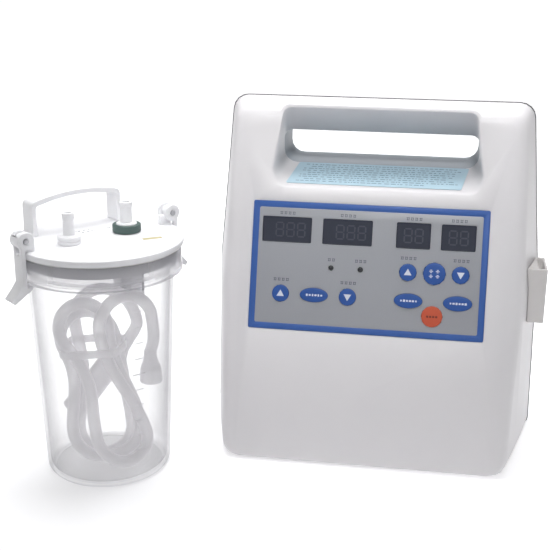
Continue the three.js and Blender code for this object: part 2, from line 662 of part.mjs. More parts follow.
// ---------------------------------------------------------------- rear fittings
// A barbed stub through the rear wall with a nut-like flange outside.
function barbedPort(spot, length) {
  const inner = rearY - 26;
  const outline = [
    [2, inner], [3.6, inner], [4.4, inner + 5], [3.6, inner + 5], [3.6, rearY - wall - gap - 3],
    [9, rearY - wall - gap - 3], [9, rearY - wall - gap], [6, rearY - wall - gap], [6, rearY + gap],
    [10, rearY + gap], [10, rearY + 4], [5, rearY + 4], [5, rearY + length - 6], [5.8, rearY + length - 6],
    [4.6, rearY + length], [2, rearY + length], [2, inner]];
  return alongY(turned(outline, 12), spot.x, spot.z);
}
named('vacuum_port', solid(barbedPort(portSpot, 18)), looks.whitePlastic);

const rocker = { radius: 8.5, width: 13, z: inletSpot.z + 14, clearance: 0.4 };
const flangeFront = rearY + gap;
const flangeBack = flangeFront + 3;
function mainsInlet() {
  const { x, z, width, height } = inletSpot;
  const flange = block(x - width / 2, x + width / 2, flangeFront, flangeBack, z - height / 2, z + height / 2);
  const body = block(
    x - width / 2 + 5 + gap, x + width / 2 - 5 - gap, rearY - 26, flangeFront + 1,
    z - height / 2 + 5 + gap, z + height / 2 - 5 - gap);
  const socketZ = z - 11;
  const socket = block(x - 12, x + 12, rearY - 14, flangeBack + 1, socketZ - 8, socketZ + 8);
  const pins = [[-7, -2], [7, -2], [0, 3]].map(([dx, dz]) =>
    block(x + dx - 1, x + dx + 1, rearY - 15, rearY - 1, socketZ + dz - 2, socketZ + dz + 2));
  const half = rocker.radius + rocker.clearance;
  const rockerHole = block(
    x - rocker.width / 2 - rocker.clearance, x + rocker.width / 2 + rocker.clearance,
    rearY - 12, flangeBack + 1, rocker.z - half, rocker.z + half);
  const lugs = [-0.18, 0.18].map((side) => block(
    x + width * side - 4.5, x + width * side + 4.5, rearY - 34, rearY - 25, z + 4, z + 6));
  return cut(join(cut(join(flange, body), socket, rockerHole), ...pins, ...lugs));
}
named('mains_inlet', mainsInlet(), looks.blackPlastic);

// Rocker: a drum about its pivot with a shallow V outside, stored pressed to the off side.
const rockerTilt = THREE.MathUtils.degToRad(8);
const rockerPivot = { y: rearY - 1, z: rocker.z };
const rockerProfile = [[8.2, -2.4], [8.2, 5.4], [0, 3.6], [-8.2, 5.4], [-8.2, -2.4], [-4, -7], [4, -7]]
  .map(([x, y]) => new THREE.Vector2(x, y));
const rockerGeometry = new THREE.ExtrudeGeometry(
  new THREE.Shape(rockerProfile), { depth: rocker.width, bevelEnabled: false })
  .translate(0, 0, -rocker.width / 2).rotateY(Math.PI / 2);
const rockerMesh = named('power_rocker', solid(rockerGeometry), looks.blackPlastic);
rockerMesh.rotation.x = rockerTilt;
rockerMesh.position.set(inletSpot.x, rockerPivot.y, rockerPivot.z);

// Silicone hose from the pump head's left barb to the vacuum port's inner barb.
function internalHose() {
  const radius = 5.4;
  const start = new THREE.Vector3(headX - 10, motorAxis.y, headTopZ + gap);
  const end = new THREE.Vector3(portSpot.x, rearY - 26 + 12, portSpot.z);
  const path = new THREE.CatmullRomCurve3([
    start, start.clone().setZ(headTopZ + 22), new THREE.Vector3(-8, 78, 146),
    new THREE.Vector3(-60, 104, 158), new THREE.Vector3(portSpot.x, 122, portSpot.z),
    end], false, 'centripetal');
  const section = (r) => new THREE.Shape(roundPolygon(r, 8));
  const tube = (r) => new THREE.ExtrudeGeometry(section(r), { steps: 18, extrudePath: path });
  const headBore = rod(barbRadius + gap, headTopZ - 1, headTopZ + 13, 12).translate(headX - 10, motorAxis.y, 0);
  const portBore = bore(portSpot, 4.4 + gap, rearY - 27, rearY);
  return cut(tube(radius), headBore, portBore);
}

function roundPolygon(radius, sides) {
  const points = [];
  for (let i = 0; i < sides; i += 1) {
    const angle = (i / sides) * Math.PI * 2;
    points.push(new THREE.Vector2(Math.cos(angle), Math.sin(angle)).multiplyScalar(radius));
  }
  return points;
}
named('internal_hose', internalHose(), looks.silicone);

// ---------------------------------------------------------------- collection jar
const jar = new THREE.Group();
jar.position.set(jarPlace.x, jarPlace.y, 0);
jar.rotation.z = latchTurn;
part.add(jar);

const jarSegments = 36;
function jarVessel() {
  const floor = 4;
  const shoulderInner = jarShoulderRadius - jarWall;
  const collarInner = jarCollarRadius - 3;
  return turned([
    [0, 1], [jarBaseRadius - 7, 1], [jarBaseRadius - 9, 0], [jarBaseRadius - 4, 0], [jarBaseRadius - 1.2, 1],
    [jarBaseRadius, 4],
    [jarShoulderRadius, jarFlangeZ - 2], [jarShoulderRadius + 1.2, jarFlangeZ], [jarFlangeRadius, jarFlangeZ],
    [jarFlangeRadius + 0.4, jarFlangeZ + 2], [jarFlangeRadius, jarFlangeZ + 4], [jarCollarRadius, jarFlangeZ + 4.6],
    [jarCollarRadius, jarTopZ], [collarInner, jarTopZ], [collarInner, jarFlangeZ + 7],
    [shoulderInner, jarFlangeZ + 2], [jarBaseRadius - jarWall, floor + 3], [jarBaseRadius - jarWall - 3, floor],
    [0, floor]], jarSegments);
}
named('jar_vessel', solid(jarVessel()), looks.clearPlastic, jar);

const lidUnderZ = lidTopZ - lidRimHeight;
const plugOuter = jarCollarRadius - 3 - 0.9;
const nozzleBore = 5.6;
const nozzleSpots = [suctionSpot, vacuumSpot];
function lid() {
  const plugInner = plugOuter - 2.4;
  const disc = turned([
    [0, lidTopZ - 3], [plugInner, lidTopZ - 3], [plugInner, lidUnderZ - 12], [plugOuter, lidUnderZ - 12],
    [plugOuter, lidUnderZ], [lidRadius, lidUnderZ], [lidRadius, lidTopZ - 0.8], [lidRadius - 0.8, lidTopZ],
    [0, lidTopZ]], jarSegments);
  const eyeRadius = 5.4;
  const lugs = [0, Math.PI].map((turn) => {
    const eye = rod(eyeRadius, -lugWidth / 2, lugWidth / 2, 18).rotateX(Math.PI / 2)
      .translate(latchPivot.r, 0, latchPivot.z);
    const root = block(
      latchPivot.r - 10, latchPivot.r - 0.6, -lugWidth / 2, lugWidth / 2, lidTopZ - 1.2, latchPivot.z + 1);
    const hole = rod(latchPinRadius + gap, -lugWidth, lugWidth, 14).rotateX(Math.PI / 2)
      .translate(latchPivot.r, 0, latchPivot.z);
    return cut(join(eye, root), hole).rotate([0, 0, THREE.MathUtils.radToDeg(turn)]);
  });
  const holes = nozzleSpots.map(({ x, y }) => rod(nozzleBore + gap, 190, lidTopZ + 1, 20).translate(x, y, 0));
  return cut(join(disc, ...lugs), ...holes);
}
named('jar_lid', lid(), looks.lidPlastic, jar);

const sealZ = jarTopZ + gap;
named('lid_seal', solid(turned([
  [plugOuter + gap, sealZ], [jarCollarRadius + 0.6, sealZ], [jarCollarRadius + 0.6, sealZ + sealThick],
  [plugOuter + gap, sealZ + sealThick], [plugOuter + gap, sealZ]], jarSegments)), looks.paleSeal, jar);

// Strap handle arched over the lid, its two feet resting on it.
function carryHandle() {
  const { half, thick, topZ, crown, width, y } = lidHandle;
  const baseZ = lidTopZ + gap;
  const arch = (x, lift) => topZ + lift + crown * (1 - (x / half) ** 2);
  const outer = [];
  const inner = [];
  const steps = 12;
  for (let step = 0; step <= steps; step += 1) {
    const x = -half + 4 + ((2 * half - 8) * step) / steps;
    outer.push([x, arch(x, 0)]);
    inner.unshift([x * ((half - thick) / (half - 4)), arch(x, -thick)]);
  }
  const shape = new THREE.Shape([
    [-half - 3, baseZ], [-half - 3, baseZ + 1.6], [-half, baseZ + 3], [-half, topZ - 4], [-half + 1.2, topZ - 0.6],
    ...outer, [half - 1.2, topZ - 0.6], [half, topZ - 4], [half, baseZ + 3], [half + 3, baseZ + 1.6],
    [half + 3, baseZ], [half - thick, baseZ], ...inner, [-half + thick, baseZ],
  ].map(([x, z]) => new THREE.Vector2(x, z)));
  return new THREE.ExtrudeGeometry(shape, { depth: width, bevelEnabled: false })
    .rotateX(Math.PI / 2).translate(0, y + width / 2, 0);
}
named('carry_handle', solid(carryHandle()), looks.lidPlastic, jar);

// Hollow nozzles: a boss on the lid, a spigot above it and a stub through the lid.
const bossBaseZ = lidTopZ + gap;
function nozzle(bossWidth, bossHeight, spigot) {
  const bossTop = bossBaseZ + bossHeight;
  return turned([
    [2.6, 196], [nozzleBore, 196], [nozzleBore, bossBaseZ], [bossWidth, bossBaseZ], [bossWidth, bossTop - 0.8],
    [bossWidth - 0.8, bossTop], [spigot, bossTop], [spigot - 0.3, spigotTopZ - 1], [spigot - 1, spigotTopZ],
    [2.6, spigotTopZ], [2.6, 196]], 12);
}
named('suction_nozzle', solid(nozzle(9.6, 6.8, 4.8)), looks.lidPlastic, jar)
  .position.set(suctionSpot.x, suctionSpot.y, 0);
const ringInner = 9.2;
named('vacuum_nozzle', solid(nozzle(ringInner - gap, 7.6, 5.2)), looks.lidPlastic, jar)
  .position.set(vacuumSpot.x, vacuumSpot.y, 0);
named('port_ring', solid(turned([
  [ringInner, bossBaseZ], [12, bossBaseZ], [12.2, bossBaseZ + 0.8], [12.2, bossBaseZ + 6.2],
  [11.4, bossBaseZ + 7], [ringInner, bossBaseZ + 7], [ringInner, bossBaseZ]], 20)), looks.greenRubber, jar)
  .position.set(vacuumSpot.x, vacuumSpot.y, 0);

// Float valve under the vacuum nozzle: a caged ball that rises to shut the port.
function floatCage() {
  const { radius, wall: skin, bottomZ, topZ } = cage;
  const tube = turned([
    [radius - skin, bottomZ], [radius, bottomZ], [radius, topZ], [nozzleBore + gap, topZ],
    [nozzleBore + gap, topZ - 2], [radius - skin, topZ - 2], [radius - skin, bottomZ]], 16);
  const bars = [
    block(-radius + 1, radius - 1, -1.5, 1.5, bottomZ, bottomZ + 2),
    block(-1.5, 1.5, -radius + 1, radius - 1, bottomZ, bottomZ + 2)];
  const slots = [45, 135].map((turn) =>
    block(-radius - 1, radius + 1, -4, 4, bottomZ + 8, topZ - 14).rotateZ(THREE.MathUtils.degToRad(turn)));
  return cut(join(cut(tube, ...slots), ...bars));
}
named('float_cage', floatCage(), looks.lidPlastic, jar).position.set(vacuumSpot.x, vacuumSpot.y, 0);
const ballZ = cage.bottomZ + 2 + gap + ballRadius;
named('float_ball', solid(new THREE.SphereGeometry(ballRadius, 14, 8)), looks.lidPlastic, jar)
  .position.set(vacuumSpot.x, vacuumSpot.y, ballZ);

// Latches: forked levers hung on the lid's lugs, hooked under the vessel's flange.
function latchLever() {
  const { r, z } = latchPivot;
  const plateInner = lidRadius + 0.8;
  const plateOuter = plateInner + 3.9;
  const hookTop = jarFlangeZ - 1.1;
  const profile = [
    [plateInner, z - 2], [plateInner, hookTop], [jarFlangeRadius - 2.7, hookTop], [jarFlangeRadius - 2.2, hookTop - 2],
    [plateInner + 0.5, hookTop - 5], [plateInner + 3.4, hookTop - 7], [plateOuter + 8, 168.4], [plateOuter + 10.6, 171],
    [plateOuter + 4, 178.5], [plateOuter, 184], [plateOuter, z + 4], [plateOuter - 1.6, z + 6],
    [plateOuter - 3.9, z + 6]].map(([x, y]) => new THREE.Vector2(x, y));
  const arm = new THREE.ExtrudeGeometry(new THREE.Shape(profile), { depth: latchWidth, bevelEnabled: false })
    .rotateX(Math.PI / 2).translate(0, latchWidth / 2, 0);
  const crosswise = (geometry) => geometry.rotateX(Math.PI / 2).translate(r, 0, z);
  const eye = crosswise(rod(7.4, -latchWidth / 2, latchWidth / 2, 20));
  const fork = block(r - 12, plateOuter + 1, -lugWidth / 2 - 0.4, lugWidth / 2 + 0.4, z - 12, z + 12);
  const hole = crosswise(rod(latchPinRadius + gap, -latchWidth, latchWidth, 14));
  return cut(join(arm, eye), fork, hole);
}

for (const [side, turn] of [['left', Math.PI], ['right', 0]]) {
  const corner = new THREE.Group();
  corner.rotation.z = turn;
  jar.add(corner);
  named(`latch_${side}`, latchLever(), looks.lidPlastic, corner);
  const pin = rod(latchPinRadius, -latchWidth / 2 - 0.8, latchWidth / 2 + 0.8, 14)
    .rotateX(Math.PI / 2).translate(latchPivot.r, 0, latchPivot.z);
  named(`latch_pin_${side}`, solid(pin), looks.steel, corner);
}

// ---------------------------------------------------------------- tubing stowed in the jar
const bundle = new THREE.Group();
bundle.position.set(jarPlace.x, jarPlace.y, 0);
bundle.rotation.z = bundleTurn;
part.add(bundle);

// The hank's outer shape: an upright slab with rounded ends, x across and z up.
const hank = { fromY: -41, toY: -1 }; // depth across the jar
// It is drawn in closer where the jar is narrower.
const hankSpread = Math.min(1, (jarShoulderRadius - jarWall) / 59.3);
const hankOutline = [[-30, 12, 16], [22, 12, 16], [26, 128, 14], [2, 168, 12], [-36, 160, 16]]
  .map(([x, z, r]) => [x * hankSpread, z, r]);
const hankSolid = plate(hankOutline, 0, hank.toY - hank.fromY, 5)
  .rotateX(Math.PI / 2).translate(0, hank.toY, 0).scale(1, hankSpread, 1);
named('tubing_hank', hankSolid, looks.silicone, bundle);

// The free end leaves the hank at the upper right and drops beside it into its connector.
const tailRoute = [[16, -15, 158], [28, -15, 160], [38, -12, 146], [42, -9, 126], [40, -6, 108]];
function tubingTail() {
  const points = tailRoute.map(([x, y, z]) => new THREE.Vector3(x, y, z));
  const path = new THREE.CatmullRomCurve3(points, false, 'centripetal');
  const section = new THREE.Shape(roundPolygon(tubeDiameter / 2, 10));
  const tube = new THREE.ExtrudeGeometry(section, { steps: 14, extrudePath: path });
  const clearance = plate(
    hankOutline.map(([x, z, r]) => [x + Math.sign(x) * gap, z + gap, r]), 0, hank.toY - hank.fromY + 2, 5)
    .rotateX(Math.PI / 2).translate(0, hank.toY + 1, 0);
  return cut(tube, clearance);
}
named('tubing_tail', tubingTail(), looks.silicone, bundle);

// Flared end connector below the tail.
const tailEnd = tailRoute[tailRoute.length - 1];
const cupDrop = 30;
named('end_connector', solid(turned([
  [3, -gap], [5.6, -gap], [6.4, -10], [9.4, -18], [10, -cupDrop], [8.4, -cupDrop], [7.8, -19], [3, -11], [3, -gap],
], 16)), looks.silicone, bundle).position.set(tailEnd[0] - 1, tailEnd[1] + 0.6, tailEnd[2] - 0.8);

// Wide cuff at the start of the tubing, lying aslant behind the hank.
const cuffLength = 84;
const cuff = named('cuff_connector', solid(turned([
  [0, 0], [6, 0], [6.6, 10], [11, 20], [11.4, cuffLength], [9.6, cuffLength], [9.4, 22], [0, 16]], 18)),
looks.silicone, bundle);
cuff.rotation.y = THREE.MathUtils.degToRad(-142);
cuff.position.set(22, 12, 112);

// ---------------------------------------------------------------- origin: under the middle of the whole object
const group = new THREE.Group();
group.add(part);
group.updateMatrixWorld(true);
const extent = new THREE.Box3().setFromObject(group, true);
part.position.set(-(extent.min.x + extent.max.x) / 2, -(extent.min.y + extent.max.y) / 2, -extent.min.z);

export default group;
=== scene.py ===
import json
import math
import random

import bmesh
import bpy
import numpy as np
from mathutils import Matrix, Vector

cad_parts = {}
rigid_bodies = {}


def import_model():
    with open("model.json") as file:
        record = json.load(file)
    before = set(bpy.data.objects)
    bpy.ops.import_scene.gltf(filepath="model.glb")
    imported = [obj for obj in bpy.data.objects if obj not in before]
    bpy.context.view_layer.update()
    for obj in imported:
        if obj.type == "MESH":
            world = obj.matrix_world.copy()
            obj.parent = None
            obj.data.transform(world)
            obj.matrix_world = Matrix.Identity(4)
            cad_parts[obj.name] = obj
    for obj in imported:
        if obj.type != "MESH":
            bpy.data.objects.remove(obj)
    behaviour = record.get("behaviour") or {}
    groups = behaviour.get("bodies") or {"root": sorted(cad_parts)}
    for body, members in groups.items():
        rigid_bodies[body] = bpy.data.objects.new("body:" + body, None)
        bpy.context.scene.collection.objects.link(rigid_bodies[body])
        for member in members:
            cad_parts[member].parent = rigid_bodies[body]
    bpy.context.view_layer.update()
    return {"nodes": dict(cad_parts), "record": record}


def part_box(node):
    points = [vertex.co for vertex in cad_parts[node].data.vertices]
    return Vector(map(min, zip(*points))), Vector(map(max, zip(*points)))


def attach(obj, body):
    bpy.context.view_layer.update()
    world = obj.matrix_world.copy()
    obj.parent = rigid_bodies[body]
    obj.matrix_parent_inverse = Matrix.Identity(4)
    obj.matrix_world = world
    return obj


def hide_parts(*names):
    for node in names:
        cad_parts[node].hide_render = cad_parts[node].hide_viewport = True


bpy.ops.object.select_all(action="SELECT")
bpy.ops.object.delete()
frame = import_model()
nodes = frame["nodes"]
bodyOf = {node: body for body, held in frame["record"]["behaviour"]["bodies"].items() for node in held}
slotOf = {entry["node"]: entry["material_slot"] for entry in frame["record"]["subparts"]}
mm = 0.001
bpy.ops.object.select_all(action="DESELECT")
print("stage: frame loaded,", len(nodes), "nodes")

# where the unit and the jar stand in the row frame, read off their own nodes
lowHousing, highHousing = (Vector(corner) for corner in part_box("front_housing"))
unitX = (lowHousing.x + highHousing.x) / 2
unitY = lowHousing.y - 1.09 * mm  # the leaning face reaches the floor here
lowJar, highJar = (Vector(corner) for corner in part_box("jar_vessel"))
jarX, jarY = (lowJar.x + highJar.x) / 2, (lowJar.y + highJar.y) / 2
lean = math.radians(16.4)
latchTurn = math.radians(50)
bundleTurn = math.radians(19.3)


def moved(x, y, z):
    return Matrix.Translation(Vector((x, y, z)) * mm)


unitPlace = Matrix.Translation((unitX, unitY, 0))
facePoint = 176.85  # how far up the slope the panel's middle lies, mm
panelPlace = (unitPlace @ moved(-3.5, facePoint * math.sin(lean), facePoint * math.cos(lean))
              @ Matrix.Rotation(math.pi / 2 - lean, 4, "X"))
jarPlace = Matrix.Translation((jarX, jarY, 0)) @ Matrix.Rotation(latchTurn, 4, "Z")
bundlePlace = Matrix.Translation((jarX, jarY, 0)) @ Matrix.Rotation(bundleTurn, 4, "Z")

# ---- camera
view = {
    "place": (61.1, -832.3, 455.4),  # mm from the unit's foot line
    "look": (-0.15588, 0.93671, -0.31351),
    "roll": 0.3625,
    "lens": 68.73,
}


def makeCamera():
    look = Vector(view["look"]).normalized()
    right = look.cross(Vector((0, 0, 1))).normalized()
    up = right.cross(look)
    tilt = math.radians(view["roll"])
    right, up = right * math.cos(tilt) + up * math.sin(tilt), up * math.cos(tilt) - right * math.sin(tilt)
    data = bpy.data.cameras.new("camera")
    data.lens = view["lens"]
    data.sensor_width = 36
    data.clip_start = 0.01
    camera = bpy.data.objects.new("camera", data)
    bpy.context.collection.objects.link(camera)
    turn = Matrix((right, up, -look)).transposed().to_4x4()
    camera.matrix_world = Matrix.Translation(unitPlace @ (Vector(view["place"]) * mm)) @ turn
    bpy.context.scene.camera = camera


makeCamera()
print("stage: camera set")


# ---- finishes
class Number:
    # a value that varies over a surface; sums written with it become Math nodes
    def __init__(self, look, socket):
        self.look, self.socket = look, socket

    def worked(self, operation, first, second):
        node = self.look.node("ShaderNodeMath", {"operation": operation}, {0: first, 1: second})
        return Number(self.look, node.outputs[0])

    def __add__(self, other):
        return self.worked("ADD", self, other)

    def __mul__(self, other):
        return self.worked("MULTIPLY", self, other)

    def __pow__(self, other):
        return self.worked("POWER", self, other)

    __radd__, __rmul__ = __add__, __mul__


class Look:
    # one material, built node by node
    def __init__(self, name):
        self.material = bpy.data.materials.new(name)
        self.material.use_nodes = True
        self.tree = self.material.node_tree
        self.tree.nodes.clear()
        self.place = self.node("ShaderNodeTexCoord").outputs["Object"]

    def node(self, kind, settings=None, values=None):
        made = self.tree.nodes.new(kind)
        for name, value in (settings or {}).items():
            setattr(made, name, value)
        for key, value in (values or {}).items():
            value = value.socket if isinstance(value, Number) else value
            if isinstance(value, bpy.types.NodeSocket):
                self.tree.links.new(value, made.inputs[key])
            else:
                made.inputs[key].default_value = value
        return made

    def noise(self, scale, detail=2.0, stretch=None):
        place = self.place
        if stretch:
            mapping = self.node("ShaderNodeMapping", {}, {"Vector": place, "Scale": stretch})
            place = mapping.outputs[0]
        made = self.node("ShaderNodeTexNoise", {}, {"Vector": place, "Scale": scale, "Detail": detail})
        return Number(self, made.outputs["Fac"])

    def facing(self):
        return Number(self, self.node("ShaderNodeLayerWeight", {}, {"Blend": 0.5}).outputs["Facing"])

    def along(self, axis, start, end):
        # 0 to 1 from one place to another along an axis, in metres
        place = self.node("ShaderNodeSeparateXYZ", {}, {"Vector": self.place}).outputs[axis]
        made = self.node("ShaderNodeMapRange", {}, {"Value": place, "From Min": start, "From Max": end})
        return Number(self, made.outputs["Result"])

    def mixed(self, amount, first, second):
        made = self.node("ShaderNodeMix", {"data_type": "RGBA"}, {0: amount, 6: first, 7: second})
        return made.outputs[2]

    def bump(self, height, distance, strength=1.0):
        made = self.node("ShaderNodeBump", {}, {"Height": height, "Distance": distance, "Strength": strength})
        return made.outputs[0]

    def finished(self, shader):
        self.node("ShaderNodeOutputMaterial", {}, {"Surface": shader})
        return self.material


def shade(red, green, blue):
    # a colour as seen on a screen, 0 to 255, as the linear numbers that a shader takes
    linear = [(c / 12.92 if c <= 0.04045 else ((c + 0.055) / 1.055) ** 2.4)
              for c in (red / 255, green / 255, blue / 255)]
    return (*linear, 1.0)


def moulded(name, colour, deep, rough, grain, depth, coat=0.0, metallic=0.0):
    # moulded or painted surface: slow colour drift, fine grain, uneven gloss
    look = Look(name)
    drift = look.noise(22, 3.0)
    fine = look.noise(grain, 2.0)
    base = look.mixed(drift * 0.8, shade(*colour), shade(*deep))
    surface = look.node("ShaderNodeBsdfPrincipled", {}, {
        "Base Color": base,
        "Roughness": fine * 0.12 + (rough - 0.06) + drift * 0.06,
        "Metallic": metallic,
        "IOR": 1.46,
        "Coat Weight": coat,
        "Coat Roughness": 0.15,
        "Normal": look.bump(fine, depth * mm, 0.6),
    })
    return look.finished(surface.outputs[0])


def brushed(name, colour, deep, rough, stretch):
    # metal with a drawn or turned grain
    look = Look(name)
    streak = look.noise(300, 4.0, stretch)
    spots = look.noise(60, 3.0)
    surface = look.node("ShaderNodeBsdfPrincipled", {}, {
        "Base Color": look.mixed(streak, shade(*colour), shade(*deep)),
        "Metallic": 1.0,
        "Roughness": streak * 0.15 + spots * 0.1 + rough,
        "Normal": look.bump(streak, 0.02 * mm, 0.5),
    })
    return look.finished(surface.outputs[0])


def seeThrough(name, colour, thin, edge, power, rough, wave=35, glow=0.0, lidShade=0.0):
    # clear wall: it lets the light by, greys where it turns away and, if wanted, greys from the jar's collar
    # up as painted shade for the shadow under the lid
    look = Look(name)
    ripple = look.noise(wave, 2.0, (1, 1, 0.35))
    haze = look.noise(400, 2.0)
    collar = look.along("Z", 0.179, 0.186)
    shell = look.node("ShaderNodeBsdfPrincipled", {}, {
        "Base Color": look.mixed(haze, shade(*colour), shade(*[c - 8 for c in colour])),
        "Roughness": haze * 0.05 + rough,
        "Normal": look.bump(ripple, 0.25 * mm, 0.5),
        # the glow is painted light: the wall gives off a faint white light of its own, which brightens it
        "Emission Color": (1, 1, 1, 1),
        "Emission Strength": glow,
        # the collar term paints shade: from the collar up the wall turns greyer, standing in for the shadow
        # under the lid
        "Alpha": look.facing() ** power * edge + thin + haze * 0.02 + collar * lidShade,
    })
    return look.finished(shell.outputs[0])


def boardLook(name):
    # fibreglass board: solder mask over copper tracks
    look = Look(name)
    track = look.node("ShaderNodeTexBrick", {"offset": 0.5}, {
        "Vector": look.place, "Scale": 160.0, "Mortar Size": 0.03,
        "Color1": (0, 0, 0, 1), "Color2": (0.2, 0.2, 0.2, 1), "Mortar": (1, 1, 1, 1)})
    copper = Number(look, track.outputs["Fac"])
    weave = look.noise(700, 2.0)
    surface = look.node("ShaderNodeBsdfPrincipled", {}, {
        "Base Color": look.mixed(copper * 0.6 + weave * 0.2, shade(28, 84, 52), shade(70, 132, 78)),
        "Roughness": weave * 0.1 + 0.38,
        "Normal": look.bump(copper + weave * 0.3, 0.05 * mm, 0.6),
    })
    return look.finished(surface.outputs[0])


def fieldLook(name):
    # printed polyester face of the key panel: fine silvery speckle
    look = Look(name)
    speckle = look.noise(2600, 1.0)
    broad = look.noise(9, 2.0)
    base = look.mixed(speckle * 0.5 + broad * 0.5, shade(152, 154, 160), shade(168, 170, 175))
    surface = look.node("ShaderNodeBsdfPrincipled", {}, {
        "Base Color": base,
        "Roughness": speckle * 0.1 + 0.34,
        "Metallic": 0.0,
        "Normal": look.bump(speckle, 0.015 * mm, 0.5),
    })
    return look.finished(surface.outputs[0])


looks = {
    "white_abs": moulded("whiteAbs", (226, 224, 226), (219, 217, 220), 0.36, 1300, 0.02),
    "grey_abs": moulded("greyAbs", (166, 172, 179), (158, 164, 171), 0.42, 1100, 0.03),
    "rail_abs": moulded("railAbs", (214, 211, 210), (205, 202, 201), 0.38, 1200, 0.02),
    "blue_border": moulded("blueBorder", (66, 102, 172), (58, 92, 160), 0.36, 2200, 0.01),
    "grey_field": fieldLook("greyField"),
    "dark_window": moulded("darkWindow", (66, 69, 80), (58, 61, 72), 0.2, 2400, 0.004, 0.3),
    "lamp_lens": moulded("lampLens", (58, 58, 62), (42, 42, 46), 0.2, 2400, 0.01, 0.4),
    "blue_key": moulded("blueKey", (56, 92, 164), (48, 84, 154), 0.34, 2200, 0.012, 0.1),
    "red_key": moulded("redKey", (206, 96, 70), (194, 88, 64), 0.34, 2200, 0.012, 0.1),
    "pale_blue_label": moulded("paleBlueLabel", (187, 213, 226), (179, 206, 220), 0.5, 1500, 0.01),
    "black_rubber": moulded("blackRubber", (44, 44, 46), (32, 32, 34), 0.7, 500, 0.06),
    "zinc_steel": brushed("zincSteel", (196, 198, 200), (150, 152, 156), 0.24, (1, 1, 0.06)),
    "motor_can": brushed("motorCan", (150, 152, 156), (110, 112, 118), 0.3, (0.06, 1, 1)),
    "cast_aluminium": moulded("castAluminium", (176, 178, 180), (150, 152, 156), 0.45, 420, 0.1, 0, 1.0),
    "circuit_board": boardLook("circuitBoard"),
    "black_plastic": moulded("blackPlastic", (40, 40, 43), (30, 30, 33), 0.38, 900, 0.03),
    # the last number greys the jar's collar as painted shade under the lid
    "clear_pc": seeThrough("clearPc", (200, 199, 204), 0.04, 0.7, 2.6, 0.06, lidShade=0.32),
    "white_pp": moulded("whitePp", (246, 246, 248), (240, 240, 243), 0.33, 1400, 0.015),
    "pale_seal": moulded("paleSeal", (222, 222, 220), (212, 212, 210), 0.6, 800, 0.04),
    "green_rubber": moulded("greenRubber", (84, 104, 100), (74, 94, 91), 0.5, 900, 0.03),
    # the tubing's glow of 0.15 is painted light that brightens it
    "clear_silicone": seeThrough("clearSilicone", (226, 224, 228), 0.62, 0.3, 1.5, 0.3, 120, 0.15),
    "mark": moulded("printedMark", (92, 96, 106), (80, 84, 94), 0.5, 2500, 0.005),
    "keyMark": moulded("keyMark", (225, 230, 240), (212, 218, 230), 0.45, 2500, 0.005),
    "digit": moulded("displaySegment", (74, 77, 89), (68, 71, 83), 0.3, 2500, 0.005),
    "redMark": moulded("redKeyMark", (122, 62, 50), (112, 56, 46), 0.5, 2500, 0.005),
    "labelMark": moulded("labelMark", (118, 146, 164), (104, 132, 152), 0.6, 2500, 0.005),
    "trim": moulded("trimStrip", (118, 116, 121), (106, 104, 109), 0.5, 900, 0.02),
    "pin": moulded("latchPin", (206, 206, 210), (186, 186, 190), 0.3, 900, 0.02, 0.2, 0.5),
    "tick": moulded("volumeTick", (206, 205, 209), (198, 197, 201), 0.5, 2500, 0.005),
    "goldLabel": moulded("goldLabel", (196, 184, 140), (178, 166, 122), 0.35, 1500, 0.01),
    "darkMark": moulded("darkMark", (104, 104, 112), (92, 92, 100), 0.5, 2500, 0.005),
}
for node, piece in nodes.items():
    piece.data.materials.clear()
    piece.data.materials.append(looks[slotOf[node]])
print("stage:", len(looks), "finishes ready")


# ---- ways of working that several pieces share
def only(piece):
    bpy.ops.object.select_all(action="DESELECT")
    piece.select_set(True)
    bpy.context.view_layer.objects.active = piece


def applied(piece, kind, **settings):
    only(piece)
    modifier = piece.modifiers.new(kind.lower(), kind)
    for name, value in settings.items():
        setattr(modifier, name, value)
    bpy.ops.object.modifier_apply(modifier=modifier.name)


def smoothed(piece, angle=32):
    only(piece)
    bpy.ops.object.shade_smooth_by_angle(angle=math.radians(angle))


def pick(piece, kind, test):
    # in edit mode, selects the vertices, edges or faces that pass a test on their place
    bpy.ops.mesh.select_mode(type={"verts": "VERT", "edges": "EDGE", "faces": "FACE"}[kind])
    made = bmesh.from_edit_mesh(piece.data)
    for group in (made.verts, made.edges, made.faces):
        for item in group:
            item.select = False
    for item in getattr(made, kind):
        if test(item):
            item.select_set(True)
    bmesh.update_edit_mesh(piece.data)


def settled(piece, place):
    # puts the place into the mesh, so the object itself stays at the origin
    piece.data.transform(place @ piece.matrix_basis)
    piece.matrix_basis = Matrix.Identity(4)


def fitted(piece, body, finish, *stoodFor, angle=32, slot=None):
    smoothed(piece, angle)
    piece.data.materials.clear()
    piece.data.materials.append(looks[finish])
    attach(piece, body)
    if stoodFor:
        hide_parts(*stoodFor)
    return piece


def merged(name, pieces):
    bpy.ops.object.select_all(action="DESELECT")
    for piece in pieces:
        piece.select_set(True)
    bpy.context.view_layer.objects.active = pieces[0]
    if len(pieces) > 1:
        bpy.ops.object.join()
    pieces[0].name = name
    return pieces[0]


def copied(piece, place):
    twin = piece.copy()
    twin.data = piece.data.copy()
    twin.data.transform(place)
    bpy.context.collection.objects.link(twin)
    return twin


